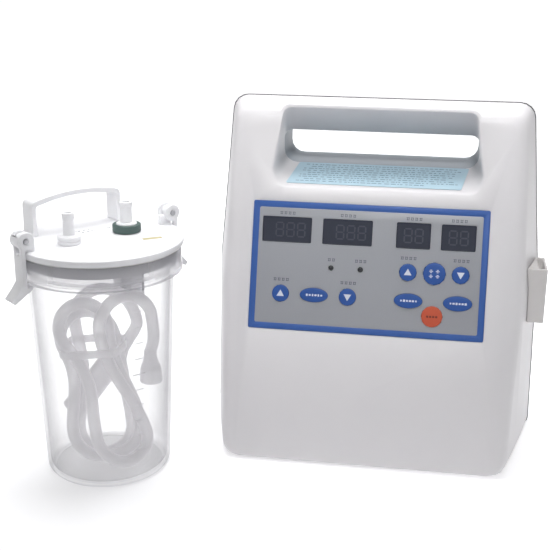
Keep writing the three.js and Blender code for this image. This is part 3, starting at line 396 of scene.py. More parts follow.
def roundedPlate(name, width, height, depth, corner, edge=0.0, steps=4, edgeSteps=2):
    # flat plate on z 0 with rounded corners and, if wanted, rounded upper and lower edges; mm
    bpy.ops.object.select_all(action="DESELECT")
    bpy.ops.mesh.primitive_plane_add(size=1)
    piece = bpy.context.object
    piece.name = name
    bpy.ops.object.mode_set(mode="EDIT")
    bpy.ops.transform.resize(value=(width * mm, height * mm, 1))
    if corner:
        bpy.ops.mesh.bevel(offset=corner * mm, segments=steps, affect="VERTICES")
    bpy.ops.mesh.select_all(action="SELECT")
    bpy.ops.mesh.extrude_region_move(TRANSFORM_OT_translate={"value": (0, 0, depth * mm)})
    bpy.ops.mesh.select_all(action="SELECT")
    bpy.ops.mesh.normals_make_consistent(inside=False)
    bpy.ops.object.mode_set(mode="OBJECT")
    if edge:
        applied(piece, "BEVEL", width=edge * mm, segments=edgeSteps, limit_method="ANGLE",
                angle_limit=math.radians(60))
    return piece


def softCap(name, width, height, bottom, top, steps=56):
    # round or oval cap with a rolled edge and a slightly domed top; mm
    bpy.ops.object.select_all(action="DESELECT")
    bpy.ops.mesh.primitive_circle_add(
        vertices=steps, radius=0.5, fill_type="NGON", location=(0, 0, bottom * mm))
    piece = bpy.context.object
    piece.name = name
    bpy.ops.object.mode_set(mode="EDIT")
    bpy.ops.transform.resize(value=(width * mm, height * mm, 1))
    bpy.ops.mesh.extrude_region_move(TRANSFORM_OT_translate={"value": (0, 0, (top - bottom - 0.45) * mm)})
    for inset, rise in ((0.12, 0.16), (0.16, 0.1), (0.3, 0.07), (1.2, 0.07), (1.8, 0.05)):
        bpy.ops.mesh.inset(thickness=inset * mm, depth=rise * mm)
    bpy.ops.mesh.select_all(action="SELECT")
    bpy.ops.mesh.normals_make_consistent(inside=False)
    bpy.ops.object.mode_set(mode="OBJECT")
    return piece


def filleted(corners, steps=4):
    # corners are (radius, height) or (radius, height, rounding); the rounded ones become short arcs
    line = []
    for index, corner in enumerate(corners):
        here = Vector(corner[:2])
        if len(corner) < 3 or index in (0, len(corners) - 1):
            line.append(here)
            continue
        back = (Vector(corners[index - 1][:2]) - here).normalized()
        onward = (Vector(corners[index + 1][:2]) - here).normalized()
        half = back.angle(onward) / 2
        centre = here + (back + onward).normalized() * corner[2] / math.sin(half)
        first = here + back * corner[2] / math.tan(half) - centre
        last = here + onward * corner[2] / math.tan(half) - centre
        start = math.atan2(first.y, first.x)
        sweep = (math.atan2(last.y, last.x) - start + math.pi) % (2 * math.pi) - math.pi
        for step in range(steps + 1):
            turn = start + sweep * step / steps
            line.append(centre + Vector((math.cos(turn), math.sin(turn))) * corner[2])
    return line


def turnedPiece(name, corners, steps=72, rounding=4):
    # spun about the upright axis from (radius, height) corners in mm; it starts and ends on the axis,
    # or comes back to its first corner
    line = filleted(corners, rounding)
    bpy.ops.object.select_all(action="DESELECT")
    bpy.ops.mesh.primitive_plane_add(size=mm)
    piece = bpy.context.object
    piece.name = name
    bpy.ops.object.mode_set(mode="EDIT")
    bpy.ops.mesh.select_mode(type="VERT")
    bpy.ops.mesh.merge(type="CENTER")
    bpy.ops.transform.translate(value=(line[0].x * mm, 0, line[0].y * mm))
    for before, after in zip(line, line[1:]):
        step = (after - before) * mm
        bpy.ops.mesh.extrude_region_move(TRANSFORM_OT_translate={"value": (step.x, 0, step.y)})
    bpy.ops.mesh.select_all(action="SELECT")
    bpy.ops.mesh.spin(steps=steps, angle=2 * math.pi, center=(0, 0, 0), axis=(0, 0, 1))
    bpy.ops.mesh.select_all(action="SELECT")
    bpy.ops.mesh.remove_doubles(threshold=1e-6)
    bpy.ops.mesh.normals_make_consistent(inside=False)
    bpy.ops.object.mode_set(mode="OBJECT")
    return piece


def refined(node, edge=0.5, bevelAngle=40, angle=32, segments=2, flat=0.4):
    # the node's own shape with its loose triangles joined, its flats cleaned and its edges broken
    piece = nodes[node].copy()
    piece.data = nodes[node].data.copy()
    for key in list(piece.keys()):
        del piece[key]
    piece.name = node + ".fine"
    bpy.context.collection.objects.link(piece)
    piece.hide_render = piece.hide_viewport = False
    only(piece)
    bpy.ops.object.mode_set(mode="EDIT")
    bpy.ops.mesh.select_all(action="SELECT")
    bpy.ops.mesh.remove_doubles(threshold=1e-6)
    bpy.ops.mesh.dissolve_limited(angle_limit=math.radians(flat))
    bpy.ops.object.mode_set(mode="OBJECT")
    if edge:
        applied(piece, "BEVEL", width=edge * mm, segments=segments, limit_method="ANGLE",
                angle_limit=math.radians(bevelAngle), use_clamp_overlap=True, harden_normals=False,
                miter_outer="MITER_ARC" if segments > 1 else "MITER_SHARP")
    return fitted(piece, bodyOf[node], slotOf[node], node, angle=angle)


def smoothRoute(points, spacing=3.0):
    # one smooth line through the points, sampled about every few mm
    ends = [points[0] * 2 - points[1], *points, points[-1] * 2 - points[-2]]
    line = []
    for a, b, c, d in zip(ends, ends[1:], ends[2:], ends[3:]):
        count = max(2, round((c - b).length / spacing))
        for step in range(count):
            t = step / count
            line.append(0.5 * (2 * b + (c - a) * t + (2 * a - 5 * b + 4 * c - d) * t * t
                               + (3 * b - a - 3 * c + d) * t * t * t))
    line.append(points[-1])
    return line


# ---- tubing stowed in the jar
tubing = {
    "diameter": 10.5,
    # everything in the bundle's own frame, mm: out of the cuff
    "lead": [(22, 12, 112), (27, 10.5, 118.5), (31, 5, 127), (30, -2, 138)],
    "turns": [  # each turn's outline, across and up, over the top to the left and back up on the right
        [(24, 150), (15, 162), (2, 169), (-11, 168), (-21, 160), (-26, 147), (-25, 131), (-20, 115),
         (-16, 99), (-18, 80), (-23, 60), (-27, 42), (-25, 26), (-16, 15), (-3, 11), (10, 13), (20, 22),
         (23, 37), (21, 55), (16, 75), (13, 94), (12, 112)],
        [(11, 128), (4, 143), (-9, 152), (-24, 152), (-35, 143), (-38, 128), (-33, 114), (-26, 101),
         (-24, 86), (-28, 68), (-32, 50), (-32, 34), (-25, 21), (-12, 15), (2, 15), (15, 18), (25, 26),
         (29, 40), (27, 57), (20, 76), (12, 94), (6, 111)],
        [(4, 128), (3, 144), (-4, 157), (-17, 163), (-30, 159), (-38, 147), (-37, 131), (-28, 116),
         (-17, 104), (-12, 88), (-12, 70), (-13, 51), (-11, 34), (-4, 20), (9, 11.5), (23, 13), (32, 24),
         (33, 40), (28, 59), (19, 78), (8, 98), (-1, 116), (-5, 133), (-4, 149)],
    ],
    "backDepth": -6.8, "frontDepth": -36.3,
    # over the bundle's shoulder and down into the connector
    "tail": [(3, -34.5, 162), (15, -32, 170), (28, -28, 168), (38, -24, 157), (43, -19.5, 142),
             (44, -14, 126.5), (42, -9, 113.5), (40, -6.5, 108)],
    "apart": 11.0,  # least distance between two strands, middle to middle
    "low": 10.6, "high": 172, "depths": (-35.6, -6.4),
    "jarFoot": 51.5, "jarSpread": 7.8 / 181, "wallGap": 5.9,  # inside radius at the base, growth with height
    "cage": (23.4, 13.9), "cageGap": 19.6, "cageFoot": 141,
    # a first round eases the whole line, a second only what is still bent tighter than its radius
    "easing": [{"rounds": 1500, "radius": 24.0, "tight": 1.0, "loose": 0.12, "held": (6, 5)},
               {"rounds": 2400, "radius": 24.5, "tight": 1.1, "loose": 0.0, "held": (4, 3)}],
    "bendShare": 0.055, "stretchShare": 0.2, "partShare": 0.2,
    "ends": (14, 16), "neighbours": 9, "spacing": 11, "decimals": 1,
}


def nearStrands(line):
    # pairs of points that lie close together but not one after the other
    gaps = np.linalg.norm(line[:, None] - line[None], axis=2)
    first, second = np.nonzero(gaps < tubing["apart"] + 4)
    keep = second - first > tubing["neighbours"]
    return first[keep], second[keep]


def straightened(line, link, stage):
    # how bending and stretching move each point
    curl = np.zeros_like(line)
    curl[1:-1] = line[:-2] - 2 * line[1:-1] + line[2:]
    tight = np.linalg.norm(curl, axis=1) / link ** 2 > 1 / stage["radius"]
    curl *= np.where(tight, stage["tight"], stage["loose"])[:, None]
    push = np.zeros_like(line)
    push[1:-1] = -tubing["bendShare"] * (curl[:-2] - 2 * curl[1:-1] + curl[2:])
    steps = np.diff(line, axis=0)
    lengths = np.linalg.norm(steps, axis=1, keepdims=True)
    pull = (lengths - link) / lengths * steps * tubing["stretchShare"]
    push[:-1] += pull
    push[1:] -= pull
    return push


def parted(line, first, second):
    # how strands that touch push each other away
    away = line[first] - line[second]
    gap = np.linalg.norm(away, axis=1) + 1e-6
    near = gap < tubing["apart"]
    away *= ((tubing["apart"] - gap) / gap * near)[:, None]
    total = [np.bincount(first, away[:, axis], len(line)) - np.bincount(second, away[:, axis], len(line))
             for axis in range(3)]
    met = np.bincount(first, near, len(line)) + np.bincount(second, near, len(line))
    return tubing["partShare"] * np.stack(total, 1) / np.maximum(met, 1)[:, None]


def keptInside(line):
    # the wall, the base and the lid of the jar, the depth of the bundle and the float's cage
    head, foot = tubing["ends"]
    body = slice(head, len(line) - foot)
    room = tubing["jarFoot"] + tubing["jarSpread"] * line[:, 2] - tubing["wallGap"]
    line[:, :2] *= np.minimum(1, room / np.hypot(line[:, 0], line[:, 1]))[:, None]
    line[:, 2] = line[:, 2].clip(tubing["low"], tubing["high"])
    line[body, 1] = line[body, 1].clip(*tubing["depths"])
    off = line[:, :2] - tubing["cage"]
    reach = np.linalg.norm(off, axis=1)
    inside = (line[:, 2] > tubing["cageFoot"]) & (reach < tubing["cageGap"])
    line[inside, :2] = tubing["cage"] + off[inside] * (tubing["cageGap"] / reach[inside])[:, None]


def easedRoute():
    # the turns drawn above, eased until no bend is tight and no strands touch
    outline = [place for turn in tubing["turns"] for place in turn]
    depths = np.linspace(tubing["backDepth"], tubing["frontDepth"], len(outline))
    bundle = [(x, depth, z) for (x, z), depth in zip(outline, depths)]
    drawn = smoothRoute([Vector(place) for place in (*tubing["lead"], *bundle, *tubing["tail"])])
    line = np.array(drawn, dtype=float)
    for _ in range(40):
        line[2:-2] = 0.5 * line[2:-2] + 0.25 * (line[1:-3] + line[3:-1])
    start = line.copy()
    for stage in tubing["easing"]:
        link = np.linalg.norm(np.diff(line, axis=0), axis=1).mean()
        head, foot = stage["held"]
        for count in range(stage["rounds"]):
            if count % 20 == 0:
                pairs = nearStrands(line)
            line = line + straightened(line, link, stage) + parted(line, *pairs)
            keptInside(line)
            line[:head], line[-foot:] = start[:head], start[-foot:]
    travel = np.concatenate([[0], np.cumsum(np.linalg.norm(np.diff(line, axis=0), axis=1))])
    spots = np.linspace(0, travel[-1], int(travel[-1] / tubing["spacing"]) + 1)
    eased = np.stack([np.interp(spots, travel, line[:, axis]) for axis in range(3)], 1)
    return [Vector(place) for place in eased.round(tubing["decimals"])]


def makeTubing():
    line = [bundlePlace @ (point * mm) for point in smoothRoute(easedRoute())]
    data = bpy.data.curves.new("suction_tubing", "CURVE")
    data.dimensions = "3D"
    data.bevel_depth = tubing["diameter"] / 2 * mm
    data.bevel_resolution = 5
    data.use_fill_caps = True
    spline = data.splines.new("POLY")
    spline.points.add(len(line) - 1)
    for point, place in zip(spline.points, line):
        point.co = (*place, 1)
    spline.use_smooth = True
    tube = bpy.data.objects.new("suction_tubing", data)
    bpy.context.collection.objects.link(tube)
    tube.data.materials.append(looks["clear_silicone"])
    length = sum((b - a).length for a, b in zip(line, line[1:]))
    return tube, length, line


def makeFittings():
    tail = tubing["tail"][-1]
    cup = turnedPiece("end_fitting", [
        (3, -0.3), (5.2, -0.3, 0.5), (6.0, -9, 3), (9.2, -18, 3), (10, -30, 0.6), (8.4, -30, 0.5),
        (7.7, -19, 2), (3.4, -10, 1), (3, -0.3)], 48)
    settled(cup, bundlePlace @ moved(tail[0] - 1, tail[1] + 1.1, tail[2] - 0.8))
    fitted(cup, "jar", "clear_silicone", "end_connector", angle=40)
    cuff = turnedPiece("start_cuff", [
        (0, 0), (5.4, 0, 0.6), (6.4, 10, 3), (10.8, 20, 4), (11.2, 60, 1), (11.4, 61), (11.4, 83.6, 0.6),
        (9.8, 83.6, 0.5), (9.4, 24, 4), (3, 17, 1), (0, 17)], 48)
    place = bundlePlace @ moved(*tubing["lead"][0]) @ Matrix.Rotation(math.radians(-142), 4, "Y")
    settled(cuff, place)
    fitted(cuff, "jar", "clear_silicone", "cuff_connector", angle=40)
    return cup, cuff


tube, tubeLength, tubeLine = makeTubing()
fittings = makeFittings()
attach(tube, "jar")
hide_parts("tubing_hank", "tubing_tail")
print("stage: tubing laid,", round(tubeLength, 3), "m")


# ---- housing, feet, rail and the parts seen at the back and sides
shellEdges = {
    "front_housing": 0.7, "rear_housing": 0.8, "seam_trim": 0.0, "jar_rail": 0.9, "mains_inlet": 0.5,
    "power_rocker": 0.5, "vacuum_port": 0.3,
}
shells = {node: refined(node, edge) for node, edge in shellEdges.items()}
shells["seam_trim"].data.materials[0] = looks["trim"]
for node in nodes:
    if node.startswith("foot_"):
        refined(node, 0.6)
    if node.startswith("housing_screw"):
        refined(node, 0.25)
for node in ("motor_crank", "crank_case", "pump_head", "pump_diaphragm", "vacuum_motor", "drive_cradle",
             "power_supply", "control_board", "display_board", "internal_hose"):
    refined(node, 0.3, segments=1)
print("stage: housing refined")


# ---- instruction label on the ledge under the handle
label = {
    "width": 155, "height": 44, "thick": 0.4, "rows": 9,
    "tilt": 12.92, "slant": 0.15, "place": (0, 97.32, 244.1),
}
labelPlace = unitPlace @ moved(*label["place"]) @ Matrix.Rotation(math.radians(label["tilt"]), 4, "X")
labelPlace = labelPlace @ Matrix.Shear("XZ", 4, (label["slant"], 0.0))


def marks(name, spots, place, thick=0.08):
    # printed dashes: (x, y, width, height) each, mm, copied from one rounded dash and joined
    first = roundedPlate(name + ".dash", 1, 1, thick, 0.12, 0, 1)
    pieces = []
    for x, y, width, height in spots:
        size = Matrix.Diagonal((width, height, 1, 1))
        pieces.append(copied(first, moved(x, y, 0) @ size))
    bpy.data.objects.remove(first)
    whole = merged(name, pieces)
    settled(whole, place)
    return whole


def makeLabel():
    sheet = roundedPlate("ledge_label", label["width"], label["height"], label["thick"], 2.0, 0.12, 5)
    settled(sheet, labelPlace)
    fitted(sheet, "pump", "pale_blue_label", "instruction_label")
    draw = random.Random(5)
    spots = []
    for row in range(label["rows"]):
        x, end = -70 + (row % 3 == 1) * 6, 72 - draw.random() * (46 if row % 3 == 2 else 8)
        while x < end:
            width = draw.choice((1.4, 2.2, 3.2, 4.6))
            spots.append((x + width / 2, 17.6 - row * 4.3, width, 1.15))
            x += width + draw.choice((0.9, 1.2, 2.4))
    lines = marks("label_lines", spots, labelPlace @ moved(0, 0, label["thick"] + 0.01), 0.06)
    fitted(lines, "pump", "labelMark", slot="pale_blue_label")


makeLabel()

# ---- key panel
panel = {
    "width": 208, "height": 114.4, "border": 5.6, "back": -1.2, "front": 0.2,
    "windows": {  # place across, width, digits
        "pressure": (-73, 44, 3), "setpoint": (-19, 44, 3),
        "run_time": (39, 30, 2), "rest_time": (78, 30, 2),
    },
    "windowY": 32.2, "windowHeight": 22.8,
    "lamps": {"low": (-32, 0), "fault": (-6, 0)},
    "keyTop": 1.3,
}
keys = {
    "pressure_up": (-76, -24.9, 15, 15, "up"), "unit": (-46, -24.9, 25, 12.6, "dashes"),
    "pressure_down": (-16, -24.9, 15, 15, "down"), "time_up": (35.8, 0, 15, 15, "up"),
    "time_set": (58.8, 0, 19.4, 19.4, "square"), "time_down": (81.5, 0, 15, 15, "down"),
    "continuous": (37.4, -24.9, 24.6, 12.8, "dashes"), "interval": (80.3, -24.9, 25, 13, "dashes"),
    "start": (58.7, -37.6, 18.3, 18.3, "short"),
}


def makePanelFace():
    depth = panel["front"] - panel["back"]
    border = roundedPlate("panel_border", panel["width"], panel["height"], depth, 1.4, 0, 5)
    inside = [panel[side] - 2 * panel["border"] for side in ("width", "height")]
    opening = roundedPlate("opening", inside[0] + 0.1, inside[1] + 0.1, depth + 4, 1.6, 0, 5)
    settled(opening, moved(0, 0, -2))
    applied(border, "BOOLEAN", operation="DIFFERENCE", solver="EXACT", object=opening)
    bpy.data.objects.remove(opening)
    applied(border, "BEVEL", width=0.18 * mm, segments=2, limit_method="ANGLE", angle_limit=math.radians(60))
    settled(border, panelPlace @ moved(0, 0, panel["back"]))
    fitted(border, "pump", "blue_border", "panel_frame")

    field = roundedPlate("panel_field", *inside, depth - 0.05, 1.6, 0.12, 5)
    cutters = []
    for x, width, _ in panel["windows"].values():
        cutter = roundedPlate("cutter", width + 0.3, panel["windowHeight"] + 0.3, depth + 4, 1.2)
        settled(cutter, moved(x, panel["windowY"], -2))
        cutters.append(cutter)
    for x, y, width, height, _ in keys.values():
        cutter = softCap("cutter", width + 0.5, height + 0.5, -2, depth + 4)
        settled(cutter, moved(x, y, 0))
        cutters.append(cutter)
    for x, y in panel["lamps"].values():
        cutter = softCap("cutter", 5.0, 5.0, -2, depth + 7, 32)
        settled(cutter, moved(x, y, 0))
        cutters.append(cutter)
    tool = merged("cutter", cutters)
    applied(field, "BOOLEAN", operation="DIFFERENCE", solver="EXACT", object=tool)
    bpy.data.objects.remove(tool)
    settled(field, panelPlace @ moved(0, 0, panel["back"]))
    fitted(field, "pump", "grey_field", "panel_plate")


def segmentDigit(x, y, height):
    # the seven bars of one unlit display figure
    half, bar = height * 0.27, height * 0.1
    flat, tall = (half * 1.7, bar), (bar, height * 0.4)
    return [(x, y + height / 2, *flat), (x, y, *flat), (x, y - height / 2, *flat),
            *[(x + side * half, y + rise * height / 4, *tall) for side in (-1, 1) for rise in (-1, 1)]]


def makeWindows():
    for name, (x, width, digits) in panel["windows"].items():
        pane = roundedPlate("pane_" + name, width, panel["windowHeight"], 1.25, 1.1, 0, 4)
        only(pane)
        bpy.ops.object.mode_set(mode="EDIT")
        pick(pane, "faces", lambda face: face.normal.z > 0.9)
        bpy.ops.mesh.inset(thickness=0.5 * mm, depth=0)
        bpy.ops.mesh.inset(thickness=0.25 * mm, depth=-0.35 * mm)
        bpy.ops.object.mode_set(mode="OBJECT")
        settled(pane, panelPlace @ moved(x, panel["windowY"], panel["back"]))
        fitted(pane, "pump", "dark_window", "display_window_" + name)
        pitch = 9.6
        spots = []
        for digit in range(digits):
            spots += segmentDigit((digit - (digits - 1) / 2) * pitch + (3 if digits == 3 else 0), 0, 12)
        figures = marks("figures_" + name, spots, panelPlace @ moved(x, panel["windowY"], -0.29), 0.05)
        fitted(figures, "pump", "digit", slot="dark_window")


def makeLamps():
    for name, (x, y) in panel["lamps"].items():
        lens = turnedPiece("lens_" + name, [
            (0, -5), (2.2, -5), (2.2, -0.1, 0.2), (1.9, 0.3, 0.2), (1.5, 0.35, 0.2), (1.0, 0.75, 0.4),
            (0, 0.85)], 32)
        settled(lens, panelPlace @ moved(x, y, 0))
        fitted(lens, "pump", "lamp_lens", "indicator_lamp_" + name, angle=50)


def triangle(name, x, y, size, up):
    bpy.ops.object.select_all(action="DESELECT")
    bpy.ops.mesh.primitive_circle_add(vertices=3, radius=size * mm, fill_type="NGON")
    piece = bpy.context.object
    piece.name = name
    bpy.ops.object.mode_set(mode="EDIT")
    bpy.ops.mesh.bevel(offset=0.25 * mm, segments=3, affect="VERTICES")
    bpy.ops.mesh.select_all(action="SELECT")
    bpy.ops.mesh.extrude_region_move(TRANSFORM_OT_translate={"value": (0, 0, 0.07 * mm)})
    bpy.ops.mesh.select_all(action="SELECT")
    bpy.ops.mesh.normals_make_consistent(inside=False)
    bpy.ops.object.mode_set(mode="OBJECT")
    turn = Matrix.Rotation(0 if up else math.pi, 4, "Z")
    settled(piece, panelPlace @ moved(x, y, panel["keyTop"] + 0.02) @ turn)
    return piece


def makeKeys():
    draw = random.Random(11)
    for name, (x, y, width, height, sign) in keys.items():
        node = "key_" + name
        colour = "red_key" if name == "start" else "blue_key"
        cap = softCap("cap_" + name, width, height, -4.2, panel["keyTop"])
        settled(cap, panelPlace @ moved(x, y, 0))
        fitted(cap, node, colour, node, angle=50)
        if sign in ("up", "down"):
            made = triangle("arrow_" + name, x, y + (-0.5 if sign == "up" else 0.5), 3.9, sign == "up")
            fitted(made, node, "keyMark", slot=colour)
            continue
        if sign == "square":
            spots = [(side * 2.9, rise * 2.2 + 0.3 * k, 3.4 - 0.5 * abs(k), 0.7)
                     for side in (-1, 1) for rise in (-1, 1) for k in (-3.6, 0, 3.6)]
        elif sign == "dashes":
            spots = [(-7.0 + step * 2.6 + 0.9, 0, draw.choice((1.3, 1.7, 2.0)), draw.choice((1.6, 2.1)))
                     for step in range(6)]
        else:
            spots = [(-3.9 + step * 2.6, 0, 1.9, 1.8) for step in range(4)]
        made = marks("mark_" + name, spots, panelPlace @ moved(x, y, panel["keyTop"] + 0.02))
        fitted(made, node, "redMark" if name == "start" else "keyMark", slot=colour)


def makeCaptions():
    rows = [(-73, 46.9, 4), (-19, 46.9, 4), (39, 46.9, 4), (78, 46.9, 4), (-76, -12.4, 4), (-16, -12.4, 4),
            (35.8, 12.4, 4), (81.5, 12.4, 4), (-32, 7.3, 2), (-6, 7.3, 3)]
    spots = []
    for x, y, count in rows:
        for step in range(count):
            middle = x + (step - (count - 1) / 2) * 3.7
            spots += [(middle, y + 1.0, 2.7, 0.45), (middle - 0.6, y - 0.1, 0.5, 2.2),
                      (middle + 0.8, y - 0.1, 0.5, 1.8), (middle, y - 1.0, 2.4, 0.45)]
    captions = marks("captions", spots, panelPlace @ moved(0, 0, panel["front"] - 0.04))
    fitted(captions, "pump", "mark", slot="grey_field")


makePanelFace()
makeWindows()
makeLamps()
makeKeys()
makeCaptions()
print("stage: key panel made")


# ---- jar, lid and what stands on it
jar = {
    "wall": 2.6, "baseRadius": 54.1, "shoulder": 61.9, "flange": 69.4, "collar": 68.6,
    "flangeZ": 181.5, "top": 202.2, "lidTop": 208.9, "lidRadius": 70.8,
}


def makeVessel():
    low, high, wall = jar["baseRadius"], jar["flangeZ"], jar["wall"]
    vessel = turnedPiece("jar_wall", [
        (0, 1.2), (low - 8, 1.2), (low - 7.5, 0, 0.5), (low - 3.6, 0, 1.5), (low, 4.6, 3.5),
        (jar["shoulder"], high - 2.4, 2), (jar["shoulder"] + 1.8, high + 0.2, 0.8),
        (jar["flange"], high + 0.2, 1.2), (jar["flange"], high + 4, 1.2),
        (jar["collar"], high + 4.4, 0.4), (jar["collar"], jar["top"], 0.8),
        (jar["collar"] - 2.9, jar["top"], 0.8), (jar["collar"] - 2.9, high + 7, 2),
        (jar["shoulder"] - wall, high + 2, 2), (low - wall, 7.5, 4), (low - wall - 4, 4, 2),
        (0, 4)], 112, 5)
    settled(vessel, jarPlace)
    fitted(vessel, "jar", "clear_pc", "jar_vessel", angle=45)

    spots = []
    for step in range(10):
        long = 12 if step % 5 == 0 else 8
        spots.append((step * 14.0 + 34, long))
    ticks = []
    for height, long in spots:
        share = height / (jar["flangeZ"] - 2.4)
        radius = jar["baseRadius"] + (jar["shoulder"] - jar["baseRadius"]) * share + 0.02
        bar = roundedPlate("tick", long, 0.7, 0.12, 0.3, 0, 2)
        applied(bar, "SUBSURF", levels=2, render_levels=2, subdivision_type="SIMPLE")
        for vertex in bar.data.vertices:  # wrapped round the wall
            turn = vertex.co.x / (radius * mm)
            out = radius * mm + vertex.co.z
            vertex.co = Vector((math.sin(turn) * out, -math.cos(turn) * out, vertex.co.y + height * mm))
        ticks.append(bar)
    scale = merged("volume_ticks", ticks)
    settled(scale, Matrix.Translation((jarX, jarY, 0)) @ Matrix.Rotation(math.radians(47), 4, "Z"))
    fitted(scale, "jar", "tick", slot="clear_pc")


def makeLid():
    top, radius = jar["lidTop"], jar["lidRadius"]
    under = top - 5.1
    plug = jar["collar"] - 3.9
    lid = turnedPiece("lid_disc", [
        (0, top - 3), (plug - 2.4, top - 3, 1), (plug - 2.4, under - 12, 0.8), (plug, under - 12, 0.8),
        (plug, under, 0.3), (radius - 0.4, under, 0.4), (radius, under + 1.6, 0.5), (radius, top, 1.1),
        (radius - 3.0, top - 0.02, 0.4), (radius - 3.4, top - 0.25, 0.3), (0, top - 0.2)], 112)
    lugs = []
    for turn in (0, math.pi):
        ring = [(2.6, -2.7), (5.4, -2.7, 0.5), (5.4, 2.7, 0.5), (2.6, 2.7), (2.6, -2.7)]
        eye = turnedPiece("eye", ring, 40)
        settled(eye, moved(70.6, 0, 219) @ Matrix.Rotation(math.pi / 2, 4, "X"))
        root = roundedPlate("root", 9.4, 5.4, 9, 1, 0.5)
        settled(root, moved(65.6, 0, top - 1))
        settled(merged("lug", [eye, root]), Matrix.Rotation(turn, 4, "Z"))
        lugs.append(bpy.context.object)
    whole = merged("lid_disc", [lid, *lugs])
    settled(whole, jarPlace)
    fitted(whole, "lid", "white_pp", "jar_lid", angle=40)

    seal = turnedPiece("lid_gasket", [
        (65.0, 202.5), (69.2, 202.5, 0.4), (69.2, 203.5, 0.4), (65.0, 203.5), (65.0, 202.5)], 112)
    settled(seal, jarPlace)
    fitted(seal, "lid", "pale_seal", "lid_seal", angle=40)

    draw = random.Random(3)
    spots = []
    for row, (start, end) in enumerate(((-14, 0), (-14, 25))):
        x = start
        while x < end:
            wide = draw.choice((1.0, 1.6, 2.4))
            spots.append((x + wide / 2, 3.2 - row * 5.2, wide, draw.choice((0.9, 1.3))))
            x += wide + draw.choice((0.8, 1.3, 2.6))
    askew = Matrix.Rotation(math.radians(-1), 4, "Z")
    writing = marks("lid_marks", spots, jarPlace @ moved(6, 22, top - 0.19) @ askew)
    fitted(writing, "lid", "darkMark", slot="white_pp")

    tag = roundedPlate("lid_tag", 16.5, 5.2, 0.14, 0.4, 0.04, 2)
    settled(tag, jarPlace @ moved(32, -31.5, top - 0.19) @ Matrix.Rotation(math.radians(-17), 4, "Z"))
    fitted(tag, "lid", "goldLabel", slot="white_pp")


def makeNozzles():
    base = jar["lidTop"] - 0.1
    suction = turnedPiece("suction_spigot", [
        (2.7, 196), (5.6, 196), (5.6, base), (9.5, base, 0.4), (9.5, base + 2.4, 0.4),
        (8.5, base + 2.8, 0.2), (8.5, base + 3.4, 0.2), (9.6, base + 3.8, 0.3), (9.6, base + 7.2, 1.2),
        (4.7, base + 7.2, 0.8), (4.4, 229, 1), (5.1, 230.4, 0.5), (5.1, 235, 0.7), (2.9, 235, 0.4),
        (2.7, 220), (2.7, 196)], 64)
    settled(suction, jarPlace @ moved(-29, -1, 0))
    fitted(suction, "lid", "white_pp", "suction_nozzle", angle=42)
    vacuum = turnedPiece("vacuum_spigot", [
        (2.9, 196), (5.6, 196), (5.6, base), (8.9, base), (8.9, base + 8.1, 1.0), (5.3, base + 8.1, 0.8),
        (4.9, 230, 1), (5.6, 231.2, 0.5), (5.6, 235, 0.7), (3.1, 235, 0.4), (2.9, 220), (2.9, 196)], 64)
    settled(vacuum, jarPlace @ moved(27.3, 0, 0))
    fitted(vacuum, "lid", "white_pp", "vacuum_nozzle", angle=42)
    ring = turnedPiece("coloured_ring", [
        (9.2, base + 0.3), (11.9, base + 0.3, 0.5), (12.2, base + 1.4, 0.4), (12.2, base + 6.5, 0.9),
        (10.6, base + 7.3, 0.5), (9.2, base + 6.9), (9.2, base + 0.3)], 64)
    settled(ring, jarPlace @ moved(27.3, 0, 0))
    fitted(ring, "lid", "green_rubber", "port_ring", angle=42)


def makeHandle():
    # flat strap bent over the lid: its section is drawn, then swept through the bends
    half, thick, width, y = 43, 4, 17, 42
    base, top, crown = jar["lidTop"] + 0.1, 237.5, 5.5
    outline = [(-half - 2.6, base, 0.3), (-half - 2.6, base + 1.4, 0.6), (-half, base + 3.2, 1.6)]
    arch = [(x, top + crown * (1 - (x / half) ** 2)) for x in range(-36, 37, 6)]
    outline += [(-half, top - 0.2, 5.5), *arch, (half, top - 0.2, 5.5), (half, base + 3.2, 1.6),
                (half + 2.6, base + 1.4, 0.6), (half + 2.6, base, 0.3), (half - thick, base, 0.2)]
    inner = [(x * 0.93, z - thick) for x, z in reversed(arch)]
    outline += [(half - thick, top - thick + 0.4, 2.2), *inner, (-half + thick, top - thick + 0.4, 2.2),
                (-half + thick, base, 0.2)]
    line = filleted([outline[-1], *outline, outline[0]], 5)[1:-1]
    bpy.ops.object.select_all(action="DESELECT")
    bpy.ops.mesh.primitive_plane_add(size=mm)
    strap = bpy.context.object
    strap.name = "lid_handle"
    bpy.ops.object.mode_set(mode="EDIT")
    bpy.ops.mesh.select_mode(type="VERT")
    bpy.ops.mesh.merge(type="CENTER")
    start = line[0]
    bpy.ops.transform.translate(value=(start.x * mm, (y - width / 2) * mm, start.y * mm))
    for before, after in zip(line, [*line[1:], start]):
        step = (after - before) * mm
        bpy.ops.mesh.extrude_region_move(TRANSFORM_OT_translate={"value": (step.x, 0, step.y)})
    bpy.ops.mesh.select_all(action="SELECT")
    bpy.ops.mesh.remove_doubles(threshold=1e-6)
    bpy.ops.mesh.select_all(action="SELECT")
    bpy.ops.mesh.edge_face_add()
    bpy.ops.mesh.extrude_region_move(TRANSFORM_OT_translate={"value": (0, width * mm, 0)})
    bpy.ops.mesh.select_all(action="SELECT")
    bpy.ops.mesh.normals_make_consistent(inside=False)
    bpy.ops.object.mode_set(mode="OBJECT")
    applied(strap, "BEVEL", width=1.0 * mm, segments=3, limit_method="ANGLE", angle_limit=math.radians(70))
    settled(strap, jarPlace)
    fitted(strap, "lid", "white_pp", "carry_handle", angle=40)


makeVessel()
makeLid()
makeNozzles()
makeHandle()
for node in ("latch_left", "latch_right"):
    refined(node, 0.7, segments=3)
refined("float_cage", 0.3)
for node in ("latch_pin_left", "latch_pin_right"):
    refined(node, 0.3).data.materials[0] = looks["pin"]


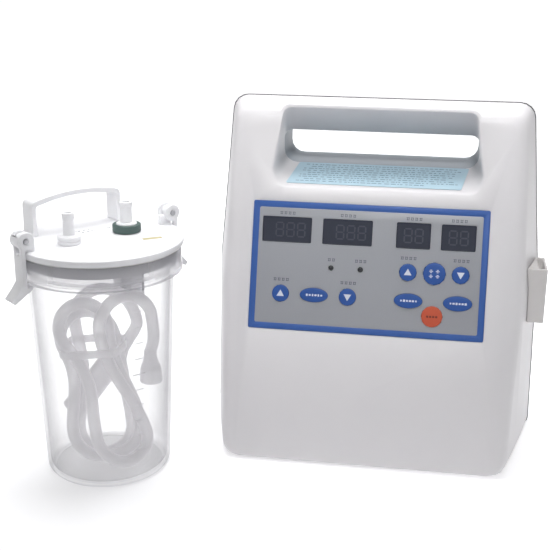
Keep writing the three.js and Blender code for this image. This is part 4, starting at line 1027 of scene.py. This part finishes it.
def makeBall():
    low, high = (Vector(corner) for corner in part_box("float_ball"))
    bpy.ops.object.select_all(action="DESELECT")
    bpy.ops.mesh.primitive_ico_sphere_add(subdivisions=4, radius=10.3 * mm)
    ball = bpy.context.object
    ball.name = "float_bead"
    for vertex in ball.data.vertices:  # mould line round the middle
        vertex.co *= 1 + 0.006 * math.exp(-(vertex.co.z / (0.35 * mm)) ** 2)
    settled(ball, Matrix.Translation((low + high) / 2))
    fitted(ball, "float_ball", "white_pp", "float_ball", angle=50)


makeBall()


def makeTie():
    # soft band that holds the loops together
    bpy.ops.object.select_all(action="DESELECT")
    outline = [(-37.5, -35.5, 7), (-33, -41.4, 6), (8.5, -41.4, 6), (17.8, -22, 8), (17.8, -9.3, 6),
               (8, -3.9, 6), (-28, -3.9, 6)]
    line = filleted([outline[-1], *outline, outline[0]], 6)[1:-1]
    bpy.ops.mesh.primitive_plane_add(size=mm)
    band = bpy.context.object
    band.name = "tubing_tie"
    bpy.ops.object.mode_set(mode="EDIT")
    bpy.ops.mesh.select_mode(type="VERT")
    bpy.ops.mesh.merge(type="CENTER")
    bpy.ops.transform.translate(value=(line[0].x * mm, line[0].y * mm, 0))
    for before, after in zip(line, [*line[1:], line[0]]):
        step = (after - before) * mm
        bpy.ops.mesh.extrude_region_move(TRANSFORM_OT_translate={"value": (step.x, step.y, 0)})
    bpy.ops.mesh.select_all(action="SELECT")
    bpy.ops.mesh.remove_doubles(threshold=1e-6)
    bpy.ops.mesh.select_all(action="SELECT")
    bpy.ops.mesh.extrude_region_move(TRANSFORM_OT_translate={"value": (0, 0, 7 * mm)})
    bpy.ops.object.mode_set(mode="OBJECT")
    applied(band, "SOLIDIFY", thickness=1.1 * mm, offset=0)
    applied(band, "BEVEL", width=0.4 * mm, segments=2, limit_method="ANGLE", angle_limit=math.radians(60))
    settled(band, bundlePlace @ moved(0, 0, 116))
    fitted(band, "jar", "clear_silicone", slot="clear_silicone", angle=50)


makeTie()
print("stage: jar and lid made")


# ---- floor and light
studio = {
    "floor": 16.0, "nearGlow": 0.28, "farGlow": 1.0, "world": 0.03, "frontEdge": (-0.34, -0.2),
    "lights": [  # name, place, aim, width, height in mm, watts, fan in degrees
        ("top", (-40, 220, 1250), (-20, 60, 100), 1100, 800, 15.0, 180),
        ("front", (80, -1000, 1250), (0, 90, 420), 700, 400, 1.25, 46),
        ("left", (-1150, -650, 480), (-180, 0, 150), 260, 620, 0.9, 180),
        ("right", (1200, -420, 560), (60, 60, 150), 320, 700, 1.1, 180),
        ("back", (-100, 1100, 900), (0, 60, 150), 1200, 500, 4.0, 180),
    ],
}


def makeStudio():
    bpy.ops.object.select_all(action="DESELECT")
    bpy.ops.mesh.primitive_plane_add(size=studio["floor"])
    floor = bpy.context.object
    floor.name = "floor"
    look = Look("paleFloor")
    drift = look.noise(1.5, 2.0)
    spread = look.node("ShaderNodeMapping", {}, {"Vector": look.place, "Scale": (0.75, 0.75, 0.75)})
    ring = look.node("ShaderNodeTexGradient", {"gradient_type": "SPHERICAL"}, {"Vector": spread.outputs[0]})
    near, far = studio["nearGlow"], studio["farGlow"]
    lit = look.along("Y", *studio["frontEdge"])
    glow = look.mixed(Number(look, ring.outputs["Fac"]), (far, far, far, 1), (near, near, near, 1))
    surface = look.node("ShaderNodeBsdfPrincipled", {}, {
        "Base Color": look.mixed(drift, shade(246, 246, 248), shade(243, 243, 245)),
        "Roughness": 0.7,
        "Emission Color": look.mixed(lit, (0, 0, 0, 1), glow),
        "Emission Strength": 1.0,
    })
    floor.data.materials.append(look.finished(surface.outputs[0]))
    for name, place, aim, width, height, power, fan in studio["lights"]:
        data = bpy.data.lights.new(name, "AREA")
        data.shape = "RECTANGLE"
        data.size, data.size_y = width * mm, height * mm
        data.energy = power
        data.spread = math.radians(fan)
        lamp = bpy.data.objects.new(name, data)
        bpy.context.collection.objects.link(lamp)
        away = Vector(aim) - Vector(place)
        turn = away.to_track_quat("-Z", "Y").to_matrix().to_4x4()
        lamp.matrix_world = Matrix.Translation(Vector(place) * mm) @ turn
    bpy.context.scene.view_settings.view_transform = "Standard"
    world = bpy.data.worlds.new("studio")
    bpy.context.scene.world = world
    world.use_nodes = True
    world.node_tree.nodes["Background"].inputs["Color"].default_value = (1, 1, 1, 1)
    world.node_tree.nodes["Background"].inputs["Strength"].default_value = studio["world"]


makeStudio()
print("stage: studio lit")
